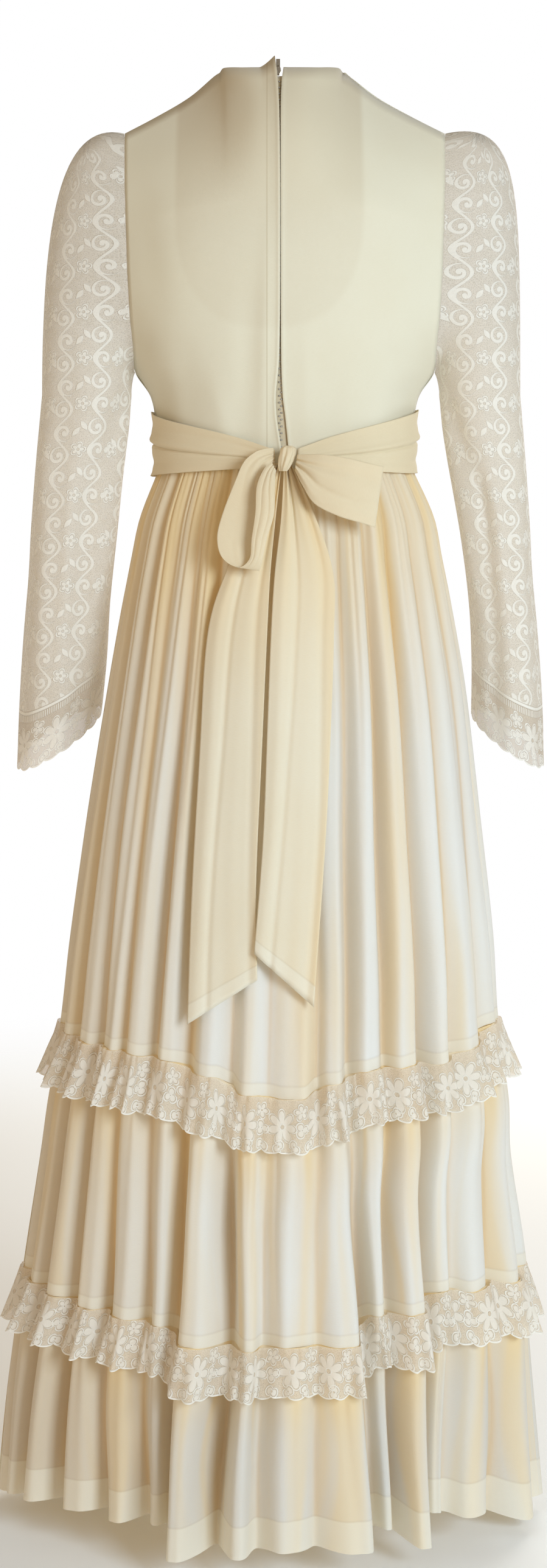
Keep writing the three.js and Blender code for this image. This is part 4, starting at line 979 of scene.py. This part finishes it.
sleeve_lace = lace_material("sleeve_lace", scrolls, (0.8, 0.75, 0.67, 1))
SLEEVE_LEFT = table(
    "ring z out fore wide deep slope rise",
    (1, -320, 193.7, 2, 43.7, 49, 0, 0),
    (2, -390, 200.9, 6, 43.7, 48, 0.12, 0.05),
    (3, -470, 208.5, 16, 43.4, 46, 0.28, 0.14),
    (4, -540, 216, 31, 43.5, 45, 0.44, 0.22),
    (5, -603, 220.8, 47, 44, 45, 0.56, 0.3),
    (6, -661, 225.5, 62, 42.5, 43, 0.63, 0.32),
)
SLEEVE_RIGHT = table(
    "ring z out fore wide deep slope rise",
    (1, -320, 190.8, 2, 39.6, 46, 0, 0),
    (2, -390, 198.5, 6, 38.3, 44, 0.12, 0.05),
    (3, -470, 208.5, 16, 35, 42, 0.28, 0.14),
    (4, -540, 217, 31, 34.5, 41, 0.44, 0.22),
    (5, -603, 221.8, 47, 35.5, 41, 0.56, 0.3),
    (6, -661, 223.5, 62, 36.5, 41, 0.66, 0.32),
)
CAP_LOW = ((0.25, 24, 2, 70), (0.5, 2, -3, 9))
ARMHOLE_LOW, ARMHOLE_BEND, ARMHOLE_CLEAR = 3, 0.8, 0.5
CAPS = {
    -1: table("at outward upward above", (0, 68, 16, 152), *CAP_LOW),
    1: table("at outward upward above", (0, 77, 17, 198), *CAP_LOW),
}
CUFF_RING, LAST_RING = 5, 6


def armhole_point(at, side):
    """A point of the armhole, from its top down the back, at 0.5 under the arm, and up the front."""
    from_top = np.where(at < 0.5, at, 1 - at)
    row = mix(TOP_ROW, ARMHOLE_LOW, (from_top / 0.5) ** ARMHOLE_BEND)
    one = np.ones_like(at)
    back = bodice_point(BODICE_BACK, BACK_TOP, row, one, side, -1)
    front_edge = bodice_point(BODICE_FRONT, FRONT_TOP, row, one, side, 1)
    edge = np.where((at < 0.5)[..., None], back, front_edge)
    edge[..., 0] += side * ARMHOLE_CLEAR
    return edge


def sleeve_ring(rings, ring, at, side):
    """A ring of the arm below the cap, tilted as the arm hangs."""
    z, out, forward, wide, deep = read_all(rings, "ring", "z out fore wide deep", ring)
    slope, rise = read_all(rings, "ring", "slope rise", ring)
    across = np.cos(2 * math.pi * at) * wide
    fore = -np.sin(2 * math.pi * at) * deep
    return np.stack([side * (out + across), forward + fore, z - across * slope + fore * rise], axis=-1)


def sleeve_point(rings, ring, at, side):
    """A point of a sleeve: ring 0 is the armhole, 1 the cap's end, 5 the cuff's seam and 6 its edge."""
    ring, at = np.broadcast_arrays(ring, at)
    start = armhole_point(at, side)
    end = sleeve_ring(rings, np.ones_like(at), at, side)
    near = np.where(at < 0.5, at, 1 - at)
    outward, upward, above = read_all(CAPS[side], "at", "outward upward above", near)
    lead = start + np.stack([side * outward, 0 * at, upward], -1)
    tail = end + np.stack([0 * at, 0 * at, above], -1)
    t = np.clip(ring, 0, 1)[..., None]
    cap = (1 - t) ** 3 * start + 3 * t * (1 - t) ** 2 * lead + 3 * t * t * (1 - t) * tail + t**3 * end
    return np.where(ring[..., None] >= 1, sleeve_ring(rings, np.maximum(ring, 1), at, side), cap)


# Soft troughs and ridges round the arm: ring and place of each end, half width and depth. The back of the
# arm is at 0.25.
ARM_FOLD_DEPTH = 1.4
ARM_FOLDS = (
    (0.9, 0.42, 2.6, 0.3, 0.05, -2.6),
    (1.2, 0.46, 3.6, 0.4, 0.04, 2.2),
    (1.6, 0.12, 4.8, 0.2, 0.05, 2.4),
    (2.0, 0.3, 5.4, 0.33, 0.035, -2.8),
    (0.7, 0.2, 2.4, 0.16, 0.06, -1.8),
    (3.0, 0.05, 5.8, 0.08, 0.05, -2.2),
    (2.4, 0.24, 6.0, 0.26, 0.03, 2.0),
    (1.0, 0.6, 3.4, 0.68, 0.05, -2.4),
    (1.8, 0.8, 5.0, 0.76, 0.045, 2.2),
    (2.6, 0.92, 5.8, 0.94, 0.04, -2.0),
    (0.8, 0.86, 2.2, 0.82, 0.06, -1.6),
)


def arm_folded(points, ring, at):
    """Pushes the arm's folds out of its middle line, less near the armhole."""
    ring, at = np.broadcast_arrays(ring, at)
    push = np.zeros_like(at)
    for r0, a0, r1, a1, half, depth in ARM_FOLDS:
        t = np.clip((ring - r0) / (r1 - r0), 0, 1)
        gap = (at - mix(a0, a1, t) + 0.5) % 1 - 0.5
        fade = eased((ring - r0 + 0.4) / 0.8) * eased((r1 + 0.6 - ring) / 0.8)
        push += depth * fade * np.exp(-((gap / half) ** 2))
    away = points - points.mean(axis=1, keepdims=True)
    away[..., 2] = 0
    away /= np.maximum(np.linalg.norm(away, axis=-1, keepdims=True), 1e-6)
    return points + away * (ARM_FOLD_DEPTH * push * eased(ring / 0.8))[..., None]


def arm_lace(rings, ring, side):
    """A stretch of sleeve with its folds. The right arm runs the other way round, to face outwards."""
    points = arm_folded(sleeve_point(rings, ring, ARM_PLACES, side), ring, ARM_PLACES)
    return points[:, ::-1] if side > 0 else points


cuff_lace = lace_material("cuff_lace", petals, (0.68, 0.6, 0.5, 1), band=True)
ARM_PLACES = np.arange(128)[None, :] / 128
SLEEVE_RINGS = np.concatenate([np.linspace(0, 1, 34), np.linspace(1, CUFF_RING, 60)[1:]])[:, None]
CUFF_RINGS = np.linspace(CUFF_RING, LAST_RING, 20)[:, None]
VINE_COLUMNS = 8
for word, rings, side in (("left", SLEEVE_LEFT, -1), ("right", SLEEVE_RIGHT, 1)):
    points = arm_lace(rings, SLEEVE_RINGS, side)
    straight = np.maximum(np.arange(len(SLEEVE_RINGS)), SLEEVE_RINGS.ravel().searchsorted(1))
    round_arm = points - points[straight].mean(axis=1, keepdims=True)
    turns = np.arctan2(round_arm[..., 1], round_arm[..., 0]) / (2 * math.pi)
    turned = (turns, VINE_COLUMNS * VINE_STEP)
    sleeve = cloth("sleeve_%s_lace" % word, points, sleeve_lace, closed=True, turned=turned)
    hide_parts("sleeve_cap_" + word, "sleeve_upper_" + word, "sleeve_fore_" + word)
    points, scallop_run = scalloped(arm_lace(rings, CUFF_RINGS, side), closed=True)
    cuff = cloth("cuff_%s_lace" % word, points, cuff_lace, closed=True, across=scallop_run)
    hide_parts("cuff_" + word)

# ---------- Sash ----------
# A long strip of soft cream voile, folded along its length and wrapped round the waist over the seam.
SASH_THICK = 0.6
sash_voile = voile_material("sash_voile", (0.8, 0.66, 0.43, 1), (0.9, 0.81, 0.6, 1), 0.2)
SASH_RIGHT = table(
    "at angle topZ lowZ off",
    (0, 89.8, -334, -396, 2.8),
    (0.25, 66, -341, -397, 2.8),
    (0.5, 40, -352, -396, 3.5),
    (0.75, 20, -363, -394, 6),
    (1, 5, -375, -392, 10),
)
SASH_LEFT = table(
    "at angle topZ lowZ off",
    (0, 89.8, -336, -399, 2.8),
    (0.25, 66, -344, -398, 2.8),
    (0.5, 40, -354, -396, 3.5),
    (0.75, 20, -364, -394, 6),
    (1, 4, -376, -392, 10),
)
WAIST = table(
    "z wide back front",
    (-330, 130, 90.5, 98),
    (-352, 126.4, 88.5, 94.5),
    (-375, 125.4, 88, 92.6),
    (-394, 125.3, 88, 92),
    (-400, 127.6, 89.6, 93.6),
)


def waist_point(angle, z, off):
    """A point round the waist, some way off the cloth under it. The angle starts at the centre back."""
    wide, back_deep, front_deep = read_all(WAIST, "z", "wide back front", z)
    deep = np.where(np.cos(angle) > 0, back_deep, front_deep) + off
    return np.stack(np.broadcast_arrays((wide + off) * np.sin(angle), -deep * np.cos(angle), z), axis=-1)


# Pleats along the sash: how far down it lies at the side and at the knot, its half width and its depth.
SASH_PLEATS = (
    (0.52, 0.6, 0.03, -3.0),
    (0.46, 0.55, 0.07, 2.4),
    (0.16, 0.3, 0.09, -1.0),
    (0.76, 0.8, 0.08, -1.4),
)


def pleated(at, down):
    """How far the sash's pleats stand out, between its side (at 0) and its knot (at 1)."""
    push = np.zeros(np.broadcast(at, down).shape)
    for side_down, knot_down, half, depth in SASH_PLEATS:
        gap = down - mix(side_down, knot_down, at) - 0.03 * np.sin(5 * at + 9 * side_down)
        push += depth * np.exp(-((gap / half) ** 2))
    return push


# The sash is held in along its top edge, stands a little off the wrap, and lies flatter near the knot.
TOP_HUG, HUG_REACH, WRAP_OFF, FRONT_OFF = 0.35, 0.35, 0.9, 3.7
FRONT_ENDS = (90.2, 269.8)
down = np.linspace(0, 1, 41)[:, None]
top_hug = mix(TOP_HUG, 1, eased(down / HUG_REACH))
at = np.linspace(0, 1, 61)[None, :]
for word, rows, side in (("left", SASH_LEFT, -1), ("right", SASH_RIGHT, 1)):
    angle, top_z, low_z, off = read_all(rows, "at", "angle topZ lowZ off", at)
    off = (off + WRAP_OFF) * mix(1, top_hug, (1 - at) ** 2) + pleated(at, down) * (1 - 0.4 * at)
    points = waist_point(np.radians(side * angle), mix(top_z, low_z, down), off)
    if side < 0:
        points = points[:, ::-1]
    wrap = cloth("sash_%s_cloth" % word, points, sash_voile, thick=SASH_THICK)
    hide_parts("sash_wrap_" + word)
around = np.linspace(0, 1, 121)[None, :]
front_angle = np.radians(mix(*FRONT_ENDS, around))
right_share = (1 + np.sin(front_angle)) / 2
front_top = mix(SASH_LEFT["topZ"][0], SASH_RIGHT["topZ"][0], right_share)
front_low = mix(SASH_LEFT["lowZ"][0], SASH_RIGHT["lowZ"][0], right_share)
front_off = FRONT_OFF * top_hug + pleated(0.3 * np.sin(math.pi * around), down)
points = waist_point(front_angle, mix(front_top, front_low, down), front_off)
sash_front = cloth("sash_front_cloth", points, sash_voile, thick=SASH_THICK)
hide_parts("sash_front")

# ---------- Bow ----------
# The ends of the sash are tied at the centre back: one loop stands out to the right, the other droops to
# the left, and two long tails hang down the skirt. Their ends are hemmed.
bow_voile = voile_material("bow_voile", (0.81, 0.67, 0.44, 1), (0.92, 0.84, 0.64, 1), 0.25)
TAIL_DARK, TAIL_LIGHT = (0.86, 0.76, 0.55, 1), (0.93, 0.9, 0.78, 1)
tail_voile = voile_material("tail_voile", TAIL_DARK, TAIL_LIGHT, 0.25, band=0.016, shade_reach=0.3)
LOOP_LEFT = table(
    "topX topZ lowX lowZ out",
    (-11, -374.3, -11, -388, 103),
    (-20, -375.5, -18, -394, 106),
    (-29, -379, -22.8, -403, 109),
    (-39, -388, -24, -418, 111),
    (-47, -406, -21.6, -434.7, 114),
    (-58.1, -434.7, -19.4, -456, 119),
    (-63.6, -458, -21, -474, 124),
    (-59, -477, -24, -485, 128),
    (-44, -486, -24, -488.5, 133),
    (-33, -478, -21, -477, 138),
    (-31.1, -460, -17, -458, 138),
    (-27.7, -435, -10.7, -437, 134),
    (-26.6, -412, -10, -413.6, 128),
    (-20.5, -396, -9.5, -402, 122),
    (-13, -388, -9, -396, 116),
)
LOOP_RIGHT = table(
    "topX topZ lowX lowZ out",
    (11, -381, 9, -396, 112),
    (23.9, -380.7, 16, -410, 119),
    (38, -381.3, 27, -427, 124),
    (59.5, -384.7, 49, -438.5, 126),
    (78.3, -389.2, 70, -444.8, 123),
    (89.5, -391.6, 81.5, -448.5, 119.5),
    (92, -392.6, 84, -449, 115.5),
    (89, -394, 81, -447, 112),
    (78, -394.5, 70, -441, 110),
    (60, -393.5, 52, -432, 109),
    (38.3, -389, 30, -418, 108),
    (20, -386, 15, -404, 107),
)
# Creases of a loop, which spread from the knot: place across, half width and depth.
LOOP_CREASES = (
    (0.14, 0.07, 0.9),
    (0.3, 0.06, -2.4),
    (0.46, 0.1, 1.8),
    (0.64, 0.06, -2.6),
    (0.82, 0.09, 1.6),
)
LOOP_BELLY, KNOT_REACH = 1.5, 2.2


def ribbon(rows, steps, crisp):
    """A loop's strip, from the knot out and back. crisp says how deep its creases are."""
    last = rows["row"][-1]
    row = np.linspace(0, last, steps)[:, None]
    t = np.linspace(0, 1, 41)[None, :]
    near = np.exp(-row / KNOT_REACH) + np.exp(-(last - row) / KNOT_REACH)
    belly = LOOP_BELLY * np.sin(math.pi * t)
    for place, half, depth in LOOP_CREASES:
        gap = t - place - 0.05 * np.sin(row * 0.9 + place * 7)
        belly = belly + crisp * depth * (0.12 + 1.1 * near) * np.exp(-((gap / half) ** 2))
    top_x, top_z, low_x, low_z, out = read_all(rows, "row", "topX topZ lowX lowZ out", row)
    return np.stack([mix(top_x, low_x, t), -(out + belly), mix(top_z, low_z, t)], axis=-1)


LOOPS = (
    ("left", ribbon(LOOP_LEFT, 113, 0.45), (0.25, 0.07), 0.0075),
    ("right", ribbon(LOOP_RIGHT, 99, 1.0)[:, ::-1], (0.22, 0.07), 0.0085),
)
for word, points, flat, area in LOOPS:
    loop = cloth("bow_loop_%s_cloth" % word, points, bow_voile, thick=SASH_THICK)
    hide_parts("bow_loop_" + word)

TAIL_LEFT = table(
    "leftX leftZ rightX rightZ off",
    (-9, -388, -3.5, -390, 7),
    (-30, -440, -9, -440, 5),
    (-56, -492, -14, -492, 5),
    (-73, -550, -17, -550, 4),
    (-80, -660, -22, -660, 4),
    (-87, -789, -27, -775, 4),
    (-91, -908, -26, -866, 4),
)
TAIL_RIGHT = table(
    "leftX leftZ rightX rightZ off",
    (-1, -390, 6, -390, 9),
    (-4, -440, 27, -436, 8),
    (-10, -492, 45, -492, 8),
    (-13.6, -550, 45.3, -550, 8),
    (-17, -640, 42, -640, 8),
    (-21, -740, 37, -740, 8),
    (-29, -841, 26, -890, 8),
)
# Long folds of a tail: place across at its top and end, half width and depth.
TAIL_FOLDS = ((0.24, 0.1, 0.1, 2.4), (0.42, 0.3, 0.05, -3), (0.6, 0.66, 0.13, 2.4), (0.8, 0.87, 0.06, -2.4))
TAIL_WAVE = 1.6


def tail(rows):
    """A tail's points, which lie over the crests of the skirt's folds."""
    row = np.linspace(0, 6, 121)[:, None]
    t = np.linspace(0, 1, 49)[None, :]
    left_x, left_z, right_x, right_z, off = read_all(rows, "row", "leftX leftZ rightX rightZ off", row)
    x = mix(left_x, right_x, t)
    z = mix(left_z, right_z, t)
    wide, deep, middle = read_all(RINGS, "z", "wide deep middle", z)
    crest = -deep * np.sqrt(1 - ((x - middle) / wide) ** 2)
    wave = TAIL_WAVE * np.sin(2 * math.pi * t + 0.5) * eased(row / 3)
    for start, end, half, depth in TAIL_FOLDS:
        gap = t - mix(start, end, row / 6) - 0.03 * np.sin(row * 1.3 + start * 9)
        wave = wave + depth * (0.5 + 0.8 * np.exp(-row / 1.1)) * np.exp(-((gap / half) ** 2))
    return np.stack([x, crest - off - wave, z], axis=-1)


TAILS = (("left", TAIL_LEFT, (0.075, 0.53), 0.031), ("right", TAIL_RIGHT, (0.07, 0.5), 0.026))
for word, rows, flat, area in TAILS:
    hung = cloth("bow_tail_%s_cloth" % word, tail(rows), tail_voile, thick=SASH_THICK)
    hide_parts("bow_tail_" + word)

KNOT = table(
    "z x wide deep",
    (-372.6, 3, 3.6, 2.8),
    (-375, 2.6, 6.6, 6.4),
    (-380, 2, 7.4, 8),
    (-386, 0.6, 7, 8.4),
    (-392, -1, 5.8, 7.2),
    (-396.4, -2, 3.8, 4.2),
)
KNOT_Y = -108
knot_row = np.linspace(0, 5, 31)[:, None]
knot_angle = 2 * math.pi * np.arange(64)[None, :] / 64
knot_fold = 1 + 0.09 * np.sin(5 * knot_angle + 0.7 * knot_row) + 0.04 * np.sin(11 * knot_angle)
knot_z, knot_middle, knot_wide, knot_deep = read_all(KNOT, "row", "z x wide deep", knot_row)
knot_x = knot_middle + knot_wide * np.cos(knot_angle) * knot_fold
knot_y = KNOT_Y + knot_deep * np.sin(knot_angle) * knot_fold
knot_points = np.stack(np.broadcast_arrays(knot_x, knot_y, knot_z), axis=-1)
knot = cloth("bow_knot_cloth", knot_points, bow_voile, closed=True)
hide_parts("bow_knot")
